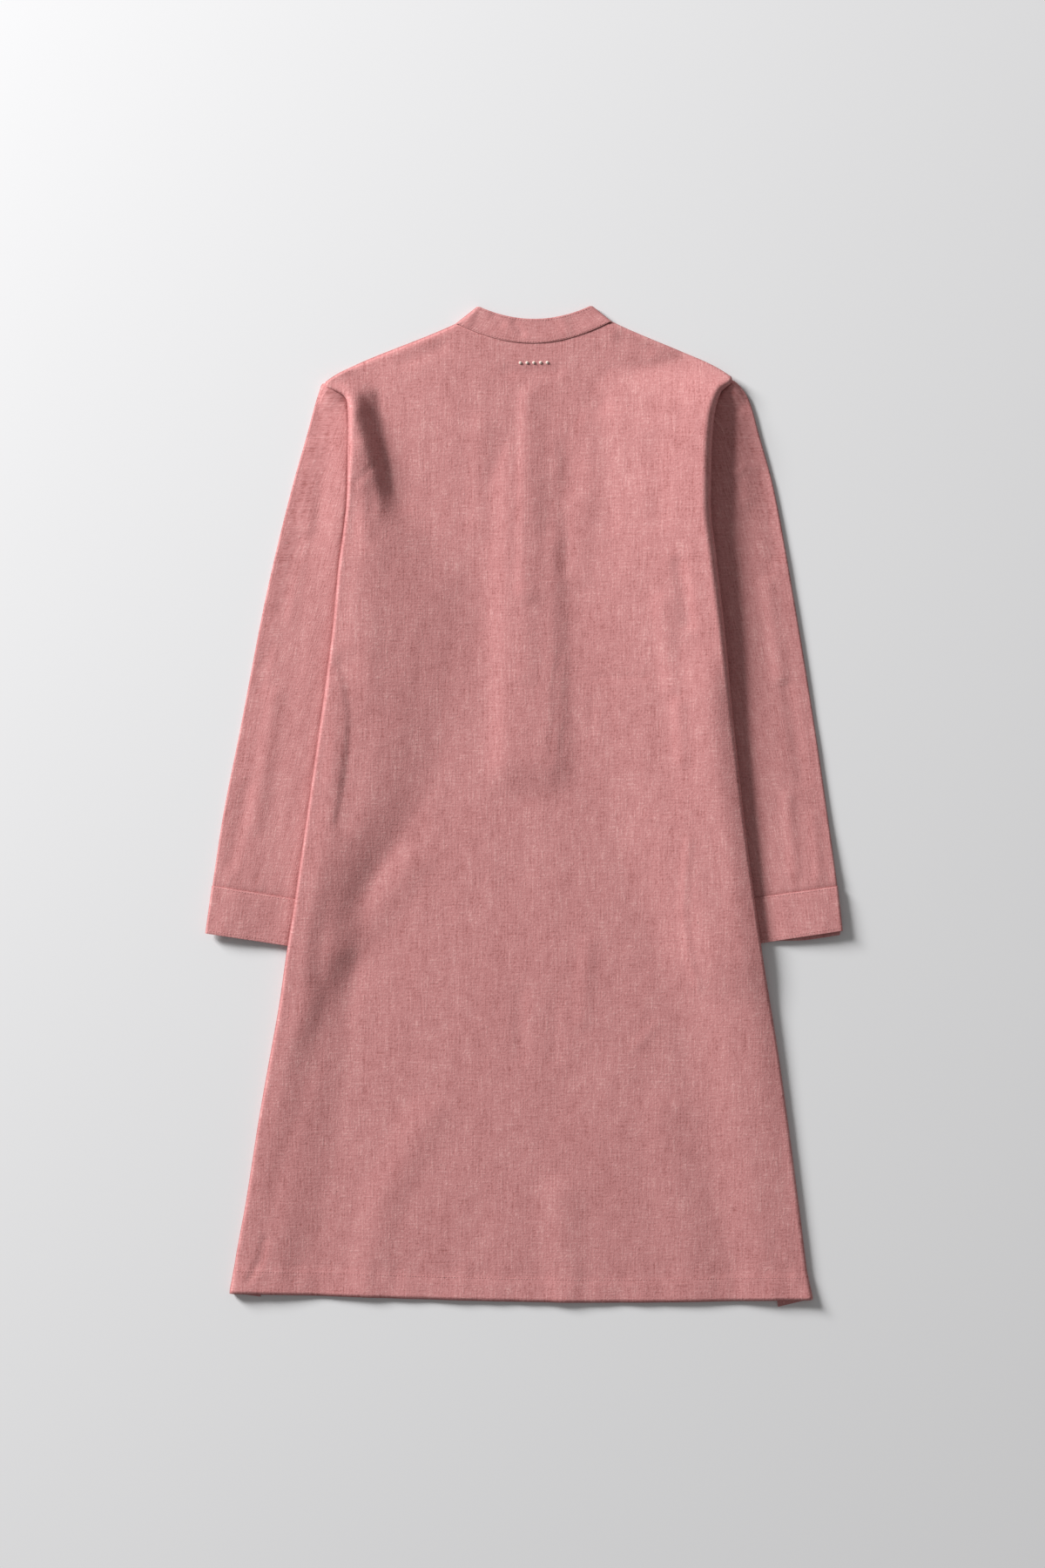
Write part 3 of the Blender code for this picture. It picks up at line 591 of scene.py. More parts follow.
clothLooks = {name: clothMaterial(name) for name in ("bodyCloth", "sleeveCloth", "bandCloth")}
stitchThread = threadMaterial("stitchThread", threadLook["stitch"])
knotThread = threadMaterial("knotThread", threadLook["knot"])
plastic = buttonMaterial("shirtButton")
print("materials made")


def dress(obj, look):
    obj.data.materials.append(look)
    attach(obj, "root")


# ---- body panels ----

body = {
    "runColumns": 62,
    "arcColumns": 9,
    "underColumns": 9,
    "rows": 262,
    "frontStep": 2,  # the front's grid is this much coarser
    "runCrowd": 1.15,  # above 1, the columns lie closer together towards the side folds
    "frontRun": 0.21,  # about the width of the front's run, from its middle to a side fold
    "slotSpare": 0.001,
    "settleSteps": 14,  # steps that find where a row meets a side fold, each by this part of what is left
    "settlePart": 0.4,
    "airFrom": (0.0, 0.020),  # the extra air grows between these distances in from a side fold
    "crumpleFrom": (-0.004, 0.012),
    "turnCrumple": (1.5, 1.6, 0.56),  # on the turned edge: stretched across and along, and its share
    "shoulderEnds": (-0.214, 0.222),
    "shoulderDrop": 0.0011,  # the cloth rounds down by this much over this width of a shoulder line
    "shoulderRound": 0.0045,
    "roundPower": 1.5,
}

# Creases and soft folds of the back, from the collar down
backMarks = [
    # neck and shoulders
    mark(-0.0006, 0.01, (-0.018, 0.4695), (0.036, 0.4695)),
    mark(-0.001, 0.013, (0.106, 0.504), (0.132, 0.493)),
    mark(-0.0006, 0.012, (-0.09, 0.495), (-0.13, 0.479)),
    mark(-0.0006, 0.0022, (-0.212, 0.456), (-0.203, 0.452), (-0.192, 0.446)),
    mark(-0.0005, 0.002, (-0.212, 0.452), (-0.203, 0.448), (-0.195, 0.443)),
    # placket showing through
    mark(0.0013, 0.012, (0.003, 0.44), (0.001, 0.34), (-0.001, 0.235), right=0.03),
    mark(-0.0008, 0.02, (0.03, 0.34), (0.028, 0.3)),
    mark(0.0006, 0.02, (0.003, 0.225), (0.0, 0.145)),
    mark(-0.0005, 0.014, (0.038, 0.33), (0.043, 0.29), (0.04, 0.255)),
    mark(0.0006, 0.018, (0.064, 0.33), (0.062, 0.25)),
    mark(0.0006, 0.02, (-0.045, 0.41), (-0.048, 0.3)),
    mark(-0.0007, 0.022, (0.085, 0.43), (0.088, 0.31)),
    mark(-0.0005, 0.018, (0.142, 0.39), (0.146, 0.31)),
    # left roll's inner edge
    mark(
        -0.0011, 0.007, (-0.196, 0.15), (-0.19, 0.128), (-0.186, 0.1), (-0.188, 0.062), (-0.193, 0.024),
        (-0.199, -0.012), right=0.032,
    ),
    mark(-0.0002, 0.005, (-0.187, 0.082), (-0.19, 0.045), (-0.196, 0.008), right=0.009),
    mark(0.0006, 0.014, (-0.206, 0.13), (-0.206, 0.03)),
    mark(-0.0004, 0.005, (-0.161, 0.368), (-0.181, 0.348)),
    mark(0.0011, 0.014, (-0.178, 0.385), (-0.173, 0.35), (-0.172, 0.295)),
    # lower left
    mark(-0.0007, 0.026, (-0.184, -0.175), (-0.2, -0.205), (-0.22, -0.24), (-0.246, -0.286), right=0.034),
    mark(-0.001, 0.005, (-0.279, -0.465), (-0.283, -0.486), (-0.298, -0.512)),
    # middle
    mark(-0.0005, 0.004, (0.039, 0.167), (0.033, 0.133), (0.032, 0.092), (0.027, 0.047)),
    mark(-0.0004, 0.004, (0.044, 0.087), (0.041, 0.059)),
    mark(-0.0004, 0.004, (0.074, 0.117), (0.074, 0.081)),
    mark(-0.0005, 0.004, (0.076, 0.14), (0.133, 0.1395)),
    mark(0.0005, 0.004, (0.132, -0.011), (0.16, -0.018)),
    # right side
    mark(-0.0012, 0.012, (0.166, 0.26), (0.172, 0.23), (0.176, 0.198)),
    mark(0.0009, 0.016, (0.15, 0.22), (0.158, 0.13)),
    mark(0.0008, 0.012, (0.166, 0.11), (0.17, 0.05)),
    mark(0.0007, 0.006, (0.177, -0.036), (0.172, -0.107), (0.178, -0.164), (0.188, -0.193)),
    mark(0.0005, 0.005, (0.163, -0.32), (0.188, -0.339)),
    # lower body
    mark(-0.0005, 0.012, (-0.003, -0.2), (-0.005, -0.27)),
    mark(-0.0004, 0.012, (0.036, -0.2), (0.034, -0.27)),
    mark(0.0006, 0.014, (0.068, -0.15), (0.064, -0.23)),
    mark(0.0004, 0.009, (0.142, -0.235), (0.12, -0.26)),
]

# Soft unevenness, longer along the cloth: (across, along, seed, height)
crumple = [
    (21, 8, 3.1, 0.00045),
    (55, 26, 7.7, 0.00016),
    (120, 80, 1.3, 0.00006),
]
hemLook = {
    "turnEdge": (0.002, -0.001),  # the step at the turn's upper edge, from above it to below it
    "stitchBelow": 0.0015,  # the stitches run this far below that edge
    "dip": 0.0005,
    "dipReach": 0.0022,
    "puckers": [(85, 20, 4.4, 0.00045), (170, 30, 9.4, 0.00027)],
    "puckerBelow": 0.0030,
    "puckerFade": (0.020, 0.004),
    "wave": [(34, 2, 6, 1)],  # the free edge rises and falls
    "waveHigh": 0.0011,
    "waveReach": 0.022,
}


def hemDetail(x, aboveHem):
    # The turned hem is thicker, dips along its stitches and puckers either side of them
    belowTurn = aboveHem - hem["turn"]
    height = hem["thick"] * smooth(*hemLook["turnEdge"], belowTurn)
    height -= hemLook["dip"] * smooth(hemLook["dipReach"], 0, abs(belowTurn + hemLook["stitchBelow"]))
    away = abs(belowTurn + hemLook["puckerBelow"])
    height += uneven(hemLook["puckers"], x, aboveHem) * smooth(*hemLook["puckerFade"], away)
    wave = 0.5 + uneven(hemLook["wave"], x, 1)
    return height + hemLook["waveHigh"] * wave * smooth(hemLook["waveReach"], 0.0, aboveHem)


def panelGrid(step):
    runs, arcs, unders = (body[key] // step for key in ("runColumns", "arcColumns", "underColumns"))
    return runs, arcs, unders, body["rows"] // step


@lru_cache(maxsize=None)
def edgeFold(side, rowPart):
    # The side fold where a row of the grid meets it, rowPart of the way from the hem to the shoulder
    sign = -1 if side == "left" else 1
    y = mix(folds[side][-1].y, folds[side][0].y, rowPart)
    for _ in range(body["settleSteps"]):
        x = sign * arcStart(foldAt(side, round(y, 6)))
        y = mix(y, mix(hemLine(x), topLine(x, neck["backDrop"]), rowPart), body["settlePart"])
    return foldAt(side, round(y, 6))


def corePoint(side, stretch, part, rowPart, drop, short):
    # A point of the middle of the front's cloth on one of a side's stretches: run, arc or under
    sign = -1 if side == "left" else 1
    fold = edgeFold(side, rowPart)
    radius, reach, turn = arcRadius(fold), arcReach(fold), arcStart(fold)

    def heightOfRow(x):
        return mix(hemLine(x) + short, topLine(x, drop), rowPart)

    if stretch == "run":
        y = fold.y
        for _ in range(3):
            x = mix(centreAt(y), sign * turn, part)
            y = heightOfRow(x)
        return Vector((x, y, coreHeight(x, y, side, fold))), x
    y = heightOfRow(sign * turn)
    tilt = tipTilt * smooth(tipFrom, 1, rowPart)
    if stretch == "arc":
        angle = math.pi * part
        inward = reach * (1 - math.sin(angle)) if part > 0.5 else 0
        x = turn + reach * math.sin(angle)
        y -= underTilt[side] * inward + tilt * (x - turn)
        point = Vector((sign * x, y, fold.bed + radius + radius * math.cos(angle)))
        return point, sign * (turn + radius * angle)
    x = mix(turn, min(fold.out - fold.under, turn - 0.001), part)
    point = Vector((sign * x, y - underTilt[side] * (turn - x + reach), fold.bed))
    return point, sign * (turn + math.pi * radius + turn - x)


def bodyPanel(name, drop, short, isBack, step, keep=None):
    runs, arcs, unders, rows = panelGrid(step)
    half = runs + arcs + unders

    def stretchOf(count):
        if count <= runs:
            return "run", 1 - (1 - count / runs) ** body["runCrowd"]
        if count <= runs + arcs:
            return "arc", (count - runs) / arcs
        return "under", (count - runs - arcs) / unders

    @lru_cache(maxsize=None)
    def core(column, row):
        side = "left" if column < half else "right"
        return corePoint(side, *stretchOf(abs(column - half)), row / rows, drop, short)

    def place(column, row):
        point, alongCloth = core(column, row)
        uv = (alongCloth, point.y)
        if not isBack:
            return point, uv
        count = abs(column - half)
        before, after = core(max(0, column - 1), row)[0], core(min(2 * half, column + 1), row)[0]
        below, above = core(column, max(0, row - 1))[0], core(column, min(rows, row + 1))[0]
        outward = (after - before).cross(above - below).normalized()
        x, y = point.x, point.y
        offset = cloth["layerStep"]
        if count <= runs:
            inward = arcStart(edgeFold("left" if column < half else "right", row / rows)) - abs(x)
            offset += loft(x, y) * smooth(*body["airFrom"], inward)
            offset += markHeight(backMarks, x, y)
            offset += uneven(crumple, x, y) * smooth(*body["crumpleFrom"], inward)
        else:
            across, along, share = body["turnCrumple"]
            offset += share * uneven(crumple, x * across, y * along)
        if not neck["left"].x < x < neck["right"].x:
            first, last = body["shoulderEnds"]
            edge = topLine(max(first, min(last, x)), drop) - y
            offset -= body["shoulderDrop"] * smooth(body["shoulderRound"], 0.0, edge) ** body["roundPower"]
        if count <= runs + arcs // 2:
            offset += hemDetail(x, y - hemLine(x))
        return point + outward * offset, uv

    return gridPiece(name, 2 * half, rows, place, keep=keep)


back = bodyPanel("backPanel", neck["backDrop"], 0, True, 1)
thicken(back, cloth["wall"])
dress(back, clothLooks["bodyCloth"])
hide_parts("back")
print("back laid")


def frontPanel():
    runs, arcs, unders, rows = panelGrid(body["frontStep"])
    half = runs + arcs + unders
    slotEnd = placket["top"] - placket["length"] - placket["spare"]
    slotLow = (slotEnd - hem["lowest"]) / (neck["left"].y - neck["frontDrop"] - hem["lowest"])
    slotHalf = placket["width"] / 2 + body["slotSpare"]

    def outsideSlot(corners):
        inSlot = all(abs(column - half) / runs * body["frontRun"] < slotHalf for column, row in corners)
        return not (inSlot and all(row / rows >= slotLow for column, row in corners))

    drop, short, step = neck["frontDrop"], hem["frontShort"], body["frontStep"]
    return bodyPanel("frontPanel", drop, short, False, step, outsideSlot)


front = frontPanel()
thicken(front, cloth["wall"])
dress(front, clothLooks["bodyCloth"])
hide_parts("front")
print("front laid")

# ---- sleeves and cuffs ----

sleeveCut = {
    "hiddenGap": 0.0016,  # the air inside a sleeve under the body, and at the next beyond it
    "openGap": 0.0027,
    "openFrom": (0.004, 0.030),  # it opens between these distances out from the body
    "headPuff": {"left": 0.0025, "right": 0.0062},  # the head stands this much higher beside the shoulder tip
    "headReach": 0.0320,
    "headCore": 0.2,  # the part of that reach that has the full height
    "headFrom": (-0.0005, 0.0055),
    "headEdge": 0.010,
    "besideRise": (0.0020, 0.0050),  # the left sleeve's rise close beside the body, low down and high up
    "besideUp": (0.20, 0.32),
    "besideFrom": (-0.0045, 0.0005),
    "besideReach": 0.036,
    "cuffDepth": 0.0520,
    "cuffWall": 0.0014,
    "cuffAir": 0.0002,  # the cuff's cloth is this much thinner than that, and rounded by the next
    "cuffRound": 0.0004,
    "endLift": 0.0042,
    "liftFrom": (0.80, 1.12),  # in lengths of the sleeve; the cuff's own length counts from 1 to the second
    "liftReach": 0.075,
    "capTuck": 0.0090,
    "capTuckFrom": (0.70, 0.92),
    "rim": 0.0022,  # a tube's cloth turns this far in from its outline, and at the cuff's end the next
    "endRim": 0.0026,
    "seamGap": 0.0005,
    "tuck": 0.0030,  # the sleeve's end reaches this far into the cuff, its lower layer raised by the next
    "tuckRise": 0.0012,
    "sink": (0.0004, 0.0005),  # the upper layer sinks by these at the seam and inside the cuff
    "across": 34,
    "edge": 5,
    "rows": 150,
    "tuckRows": 3,
    "cuffRows": 18,
    "columnCrowd": 1.35,  # above 1, the columns lie closer together towards the outer edge
    "rowCrowd": 1.5,  # and the rows towards the sleeve's head
    "crumple": (1.3, 3, 1.1),  # the body's unevenness, stretched across, moved along X, and its share
    "markFrom": (-0.004, 0.010),
    "pucker": {"left": [(22, 30, 3, 0.0004)], "right": [(22, 30, 8, 0.0004)]},
    "puckerFrom": (0.90, 0.99),
    "cuffCrumple": [(60, 22, 5, 0.0004)],
    "cuffRise": 0.0003,
    "cuffRiseFrom": (0.0, 0.05),
    "groove": 0.0004,  # the cuff's seam stitches pull it in, at the next, in depths of the cuff
    "grooveAt": 0.045,
    "grooveReach": 0.035,
    "width": {"sleeve": 0.19, "cuff": 0.12},  # of one layer, where its threads are counted
}
# The outer outlines as laid, from the shoulder tip to the end of the cuff
Edge = namedtuple("Edge", "y out")
outlines = {
    "left": [
        (0.462, 0.2), (0.4585, 0.21), (0.454, 0.2165), (0.4474, 0.2204),
        (0.438, 0.2244), (0.4004, 0.2348), (0.344, 0.2508), (0.2312, 0.278),
        (0.0808, 0.3072), (-0.012, 0.3255), (-0.0846, 0.3363), (-0.1363, 0.3438),
    ],
    "right": [
        (0.465, 0.208), (0.4625, 0.219), (0.459, 0.2272), (0.452, 0.2343),
        (0.438, 0.2435), (0.4004, 0.2545), (0.344, 0.27), (0.2312, 0.2907),
        (0.0808, 0.3151), (-0.012, 0.3285), (-0.085, 0.3382), (-0.1335, 0.3438),
    ],
}
sleeveEdges = {side: [Edge(*row) for row in rows] for side, rows in outlines.items()}
Inner = namedtuple("Inner", "underarm seam end")
sleeveInners = {
    "left": Inner((0.139, 0.235), (0.2220, -0.1028), (0.2300, -0.1535)),
    "right": Inner((0.148, 0.240), (0.2240, -0.1008), (0.2320, -0.1505)),
}
lowerCuffPeek = {"left": 0.0, "right": 0.0042}

# Distances are positive on both sides: x is how far out from X = 0
sleeveMarks = {
    "left": [
        mark(-0.001, 0.005, (0.277, 0.173), (0.28, 0.153)),
        mark(-0.0008, 0.005, (0.28, 0.153), (0.287, 0.126)),
        mark(0.0009, 0.012, (0.226, 0.39), (0.232, 0.3)),
        mark(-0.0008, 0.012, (0.246, 0.29), (0.262, 0.21)),
        mark(0.0008, 0.014, (0.268, 0.12), (0.29, -0.02)),
        mark(-0.0007, 0.012, (0.3, 0.02), (0.315, -0.06)),
    ],
    "right": [
        mark(0.001, 0.012, (0.232, 0.42), (0.24, 0.33)),
        mark(-0.0008, 0.012, (0.256, 0.36), (0.272, 0.27)),
        mark(0.0012, 0.006, (0.234, 0.362), (0.202, 0.354)),
        mark(0.0009, 0.013, (0.262, 0.24), (0.276, 0.14)),
        mark(-0.0007, 0.012, (0.285, 0.13), (0.3, 0.03)),
        mark(0.0008, 0.01, (0.284, 0.01), (0.292, -0.07)),
        mark(0.0006, 0.01, (0.312, -0.01), (0.318, -0.075)),
    ],
}


def towardsOuter(part):
    return 1 - (1 - part) ** sleeveCut["columnCrowd"]


def tubeColumn(column, across, edge):
    # Part across, part of the half turn at an edge, and which layer
    if column <= across:
        return towardsOuter(column / across), 0.0, "upper"
    if column <= across + edge:
        return 1.0, (column - across) / edge, "outerTurn"
    if column <= 2 * across + edge:
        return towardsOuter(1 - (column - across - edge) / across), 0.0, "lower"
    return 0.0, (column - 2 * across - edge) / edge, "innerTurn"


@lru_cache(maxsize=None)
def capPoint(side, part):
    low, high = sleeveInners[side].underarm[1], sleeveEdges[side][0].y
    y = mix(low, high, part)
    fold = foldAt(side, round(y, 6))
    return Vector((fold.out - fold.under - sleeveCut["capTuck"] * smooth(*sleeveCut["capTuckFrom"], part), y))


@lru_cache(maxsize=None)
def sleevePlan(side, part, along):
    inner, edges = sleeveInners[side], sleeveEdges[side]
    seamInner = Vector(inner.seam)
    seamY = edges[-2].y
    seamOuter = Vector((edges[-2].out - sleeveCut["rim"], seamY))
    outerY = mix(edges[0].y, seamY, along)
    outer = Vector((read(edges, "out", outerY) - sleeveCut["rim"], outerY))
    inside = Vector(inner.underarm).lerp(seamInner, along)
    cap, seam = capPoint(side, part), seamInner.lerp(seamOuter, part)
    corners = capPoint(side, 0).lerp(capPoint(side, 1), part).lerp(seam, along)
    return cap.lerp(seam, along) + inside.lerp(outer, part) - corners


@lru_cache(maxsize=None)
def cuffPlan(side, part, along):
    inner, (seam, end) = sleeveInners[side], sleeveEdges[side][-2:]
    inside = Vector(inner.seam).lerp(Vector(inner.end), along)
    seamOuter = Vector((seam.out - sleeveCut["rim"], seam.y))
    endOuter = Vector((end.out - sleeveCut["endRim"], end.y))
    return inside.lerp(seamOuter.lerp(endOuter, along), part)


def layersAt(side, plan, along, thickness):
    # Heights of the middles of a tube's lower and upper layers
    beyond = plan.x - foldAt(side, round(plan.y, 4)).out
    free = smooth(*sleeveCut["openFrom"], beyond)
    lift = sleeveCut["endLift"] * smooth(*sleeveCut["liftFrom"], along)
    low = thickness / 2 + lift * smooth(0, sleeveCut["liftReach"], beyond)
    tip, reach = folds[side][0], sleeveCut["headReach"]
    away = math.hypot(plan.x - tip.out, plan.y - tip.y)
    puff = sleeveCut["headPuff"][side] * smooth(reach, sleeveCut["headCore"] * reach, away)
    inward = read(sleeveEdges[side], "out", plan.y) - plan.x
    puff *= smooth(*sleeveCut["headFrom"], beyond) * smooth(0, sleeveCut["headEdge"], inward)
    if side == "left":
        beside = mix(*sleeveCut["besideRise"], smooth(*sleeveCut["besideUp"], plan.y))
        beside *= smooth(*sleeveCut["besideFrom"], beyond)
        puff += beside * smooth(sleeveCut["besideReach"], 0.0, beyond)
    gap = mix(sleeveCut["hiddenGap"], sleeveCut["openGap"], free)
    return low, low + gap + puff + (thickness - cloth["solidWall"])


def tubePoint(side, plan, previous, turn, layer, along, thickness, detail=0):
    low, high = layersAt(side, plan, along, thickness)
    sign = -1 if side == "left" else 1
    if layer == "upper":
        return Vector((sign * plan.x, plan.y, high + detail))
    if layer == "lower":
        return Vector((sign * plan.x, plan.y, low))
    radius = (high - low) / 2
    angle = math.pi * (turn if layer == "outerTurn" else 1 - turn)
    outward = (plan - previous).normalized() * radius * math.sin(angle)
    height = low + radius + radius * math.cos(angle) + detail * (1 - turn if layer == "outerTurn" else turn)
    return Vector((sign * (plan.x + outward.x), plan.y + outward.y, height))


def tubeUv(part, layer, width, length):
    # The upper and lower layers lie side by side on the flat cloth
    across = {"upper": part, "outerTurn": 1, "lower": 2 - part, "innerTurn": 2}[layer]
    return (across * width, length)


def furtherIn(part):
    # A part across that lies inwards from the edge that a tube's cloth turns round
    return 0.1 if part == 0 else 0.9


def sleevePiece(side):
    across, edge, rows = sleeveCut["across"], sleeveCut["edge"], sleeveCut["rows"]
    seamRow = rows - sleeveCut["tuckRows"]
    stretch, moved, share = sleeveCut["crumple"]
    seamSink, tuckSink = sleeveCut["sink"]

    def place(column, row):
        part, turn, layer = tubeColumn(column, across, edge)
        along = min(1, row / seamRow) ** sleeveCut["rowCrowd"]
        within = max(0, row / seamRow - 1) * seamRow / sleeveCut["tuckRows"]
        plan, previous = (sleevePlan(side, spot, along) for spot in (part, furtherIn(part)))
        if within:
            tucked = within * sleeveCut["tuck"] / sleeveCut["cuffDepth"]
            plan, previous = (cuffPlan(side, spot, tucked) for spot in (part, furtherIn(part)))
        beyond = plan.x - foldAt(side, round(plan.y, 4)).out
        detail = markHeight(sleeveMarks[side], plan.x, plan.y)
        detail += share * uneven(crumple, plan.x * stretch + moved, plan.y)
        detail *= smooth(*sleeveCut["markFrom"], beyond)
        pucker = uneven(sleeveCut["pucker"][side], part, along)
        detail += pucker * smooth(*sleeveCut["puckerFrom"], along) * (1 - within)
        detail -= seamSink * smooth(0.985, 1.0, along) + tuckSink * smooth(0, 0.5, within)
        point = tubePoint(side, plan, previous, turn, layer, along, cloth["solidWall"], detail)
        if layer == "lower":
            point.z += sleeveCut["tuckRise"] * smooth(0, 0.5, within)
        return point, tubeUv(part, layer, sleeveCut["width"]["sleeve"], plan.y)

    return gridPiece(f"{side}Sleeve", 2 * (across + edge), rows, place, loop=True)


def cuffPiece(side):
    across, edge, rows = sleeveCut["across"], sleeveCut["edge"], sleeveCut["cuffRows"]
    start = sleeveCut["seamGap"] / sleeveCut["cuffDepth"]
    rise = sleeveCut["liftFrom"][1] - 1

    def place(column, row):
        part, turn, layer = tubeColumn(column, across, edge)
        along = mix(start, 1, row / rows)
        plan, previous = (cuffPlan(side, spot, along) for spot in (part, furtherIn(part)))
        detail = uneven(sleeveCut["cuffCrumple"], plan.x, plan.y)
        detail += sleeveCut["cuffRise"] * smooth(*sleeveCut["cuffRiseFrom"], along)
        away = abs(along - sleeveCut["grooveAt"])
        detail -= sleeveCut["groove"] * smooth(sleeveCut["grooveReach"], 0.0, away)
        point = tubePoint(side, plan, previous, turn, layer, 1 + along * rise, sleeveCut["cuffWall"], detail)
        if layer == "lower":
            point.y -= lowerCuffPeek[side] * smooth(0.3, 0.7, part) * along
        return point, tubeUv(part, layer, sleeveCut["width"]["cuff"], plan.y)

    return gridPiece(f"{side}Cuff", 2 * (across + edge), rows, place, loop=True)


sleeves, cuffs = {}, {}
for side in ("left", "right"):
    sleeves[side] = sleevePiece(side)
    thicken(sleeves[side], cloth["wall"])
    dress(sleeves[side], clothLooks["sleeveCloth"])
    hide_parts(f"sleeve_{side}")
    cuffs[side] = cuffPiece(side)
    thicken(cuffs[side], sleeveCut["cuffWall"] - sleeveCut["cuffAir"], bevel=sleeveCut["cuffRound"])
    dress(cuffs[side], clothLooks["bandCloth"])
    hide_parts(f"cuff_{side}")
print("sleeves and cuffs laid")

# ---- collar ----

collarCut = {
    "wall": 0.0008,
    "topLeft": Vector((-0.0490, 0.5393)),
    "topRight": Vector((0.0722, 0.5400)),
    "topDrop": 0.0140,
    "lap": 0.0035,
    "lean": -0.0012,
    "lapGap": 0.0001,
    "frontTop": 0.016,  # the front half's free edge drops this much less than its seam
    "ends": (0.012, 0.496),  # where the band turns, and where it ends at the opening, as parts of the neck
    "crumple": [(40, 40, 2, 0.0005)],
    "groove": (0.0003, 0.07, 0.05),  # the stitches' depth, place and reach, up the band
    "seam": (0.0004, 0.070),  # how far it sinks at its seam, and the reach
    "length": 0.41,
    "height": 0.030,
    "round": 0.0004,
    "front": 24,
    "turn": 8,
    "back": 60,
    "rows": 12,
}
collarMarks = [
    mark(-0.0008, 0.006, (-0.033, 0.529), (-0.024, 0.52)),
    mark(-0.0008, 0.006, (-0.01, 0.521), (-0.002, 0.51)),
    mark(0.0006, 0.01, (0.04, 0.528), (0.046, 0.514)),
    mark(0.0006, 0.007, (-0.055, 0.533), (-0.06, 0.521)),
]


def neckEdge(first, last, part, drop, lap=0):
    # A point of a neck line that hangs between two ends
    point = first.lerp(last, part)
    return Vector((point.x, point.y - 4 * drop * part * (1 - part) - lap * math.sin(math.pi * part)))


def collarPlan(part, up, seamDrop, freeDrop, lap):
    seam = neckEdge(neck["left"], neck["right"], part, seamDrop, lap)
    return seam.lerp(neckEdge(collarCut["topLeft"], collarCut["topRight"], part, freeDrop), up)


def collarPoint(part, up):
    # A point of the collar's back half
    return collarPlan(part, up, neck["backDrop"], collarCut["topDrop"], collarCut["lap"])


def collarPiece():
    front, turnSteps, backSteps, rows = (collarCut[key] for key in ("front", "turn", "back", "rows"))
    wall, (turnPart, endPart) = collarCut["wall"], collarCut["ends"]
    frontLevel = wall / 2
    backCloth = cloth["solidWall"] + neck["rise"] + cloth["layerStep"] + cloth["loft"] + cloth["raisedLoft"]
    backLevel = backCloth + collarCut["lapGap"] + wall / 2
    radius = (backLevel - frontLevel) / 2
    half = front + turnSteps + backSteps / 2
    (deep, deepAt, deepReach), (seamDeep, seamReach) = collarCut["groove"], collarCut["seam"]

    def place(column, row):
        up = row / rows
        sign = -1 if column < half else 1
        count = column if sign < 0 else 2 * half - column
        leanHere = collarCut["lean"] * up * (1.5 - up)
        uv = (column * collarCut["length"] / (2 * half), up * collarCut["height"])

        def ofHalf(part):
            return part if sign < 0 else 1 - part

        if count <= front:
            part, drop = ofHalf(mix(endPart, turnPart, count / front)), neck["frontDrop"]
            plan = collarPlan(part, up, drop, drop - collarCut["frontTop"], collarCut["lap"])
            return Vector((plan.x, plan.y, frontLevel)), uv
        if count < front + turnSteps:
            plan = collarPlan(ofHalf(turnPart), up, neck["backDrop"], collarCut["topDrop"], 0)
            angle = math.pi * (count - front) / turnSteps
            climb = (1 - math.cos(angle)) / 2
            height = frontLevel + (2 * radius + leanHere) * climb
            return Vector((plan.x + sign * radius * math.sin(angle), plan.y, height)), uv
        plan = collarPoint(ofHalf(mix(turnPart, 0.5, (count - front - turnSteps) / (backSteps / 2))), up)
        detail = markHeight(collarMarks, plan.x, plan.y) + uneven(collarCut["crumple"], plan.x, plan.y)
        detail -= deep * smooth(deepReach, 0.0, abs(up - deepAt)) + seamDeep * smooth(seamReach, 0.0, up)
        return Vector((plan.x, plan.y, backLevel + leanHere + detail)), uv

    return gridPiece("collarBand", 2 * (front + turnSteps) + backSteps, rows, place)


collar = collarPiece()
thicken(collar, collarCut["wall"], bevel=collarCut["round"])
dress(collar, clothLooks["bandCloth"])
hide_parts("collar")
print("collar laid")

# ---- placket and buttons ----

stripCut = {
    "columns": 12,
    "rows": 90,
    "inset": 0.001,
    "wall": 0.0009,
    "round": 0.0002,
    "crumple": (90, 60, 900),  # turns in a metre across, along and up
    "sag": 0.00012,
    "sagEnd": 0.42,
}


def placketPiece(name, node):
    low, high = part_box(node)
    middle = (low + high) / 2
    turned = Matrix.Rotation(-math.atan(lean["slope"]), 3, "Z")
    columns, rows, (perX, perY, perZ) = stripCut["columns"], stripCut["rows"], stripCut["crumple"]
    width = placket["width"] - stripCut["inset"]

    def place(column, row):
        part = column / columns - 0.5
        x, y = part * width, (row / rows - 0.5) * placket["length"]
        sag = uneven([(perX, perY, middle.z * perZ, stripCut["sag"])], x, y)
        sag *= smooth(0.5, stripCut["sagEnd"], abs(part))
        point = middle + turned @ Vector((x, y, sag))
        return point, (point.x, point.y)

    strip = gridPiece(name, columns, rows, place)
    thicken(strip, stripCut["wall"], bevel=stripCut["round"])
    dress(strip, clothLooks["bandCloth"])
    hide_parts(node)


placketPiece("overStrip", "placket_over")
placketPiece("underStrip", "placket_under")

buttonCut = {
    "segments": 40,
    "rim": 0.22,  # in radii
    "slope": 0.10,
    "dish": 0.18,  # in thicknesses
    "round": 0.16,
    "roundFrom": 30,
    "sharp": 50,
}


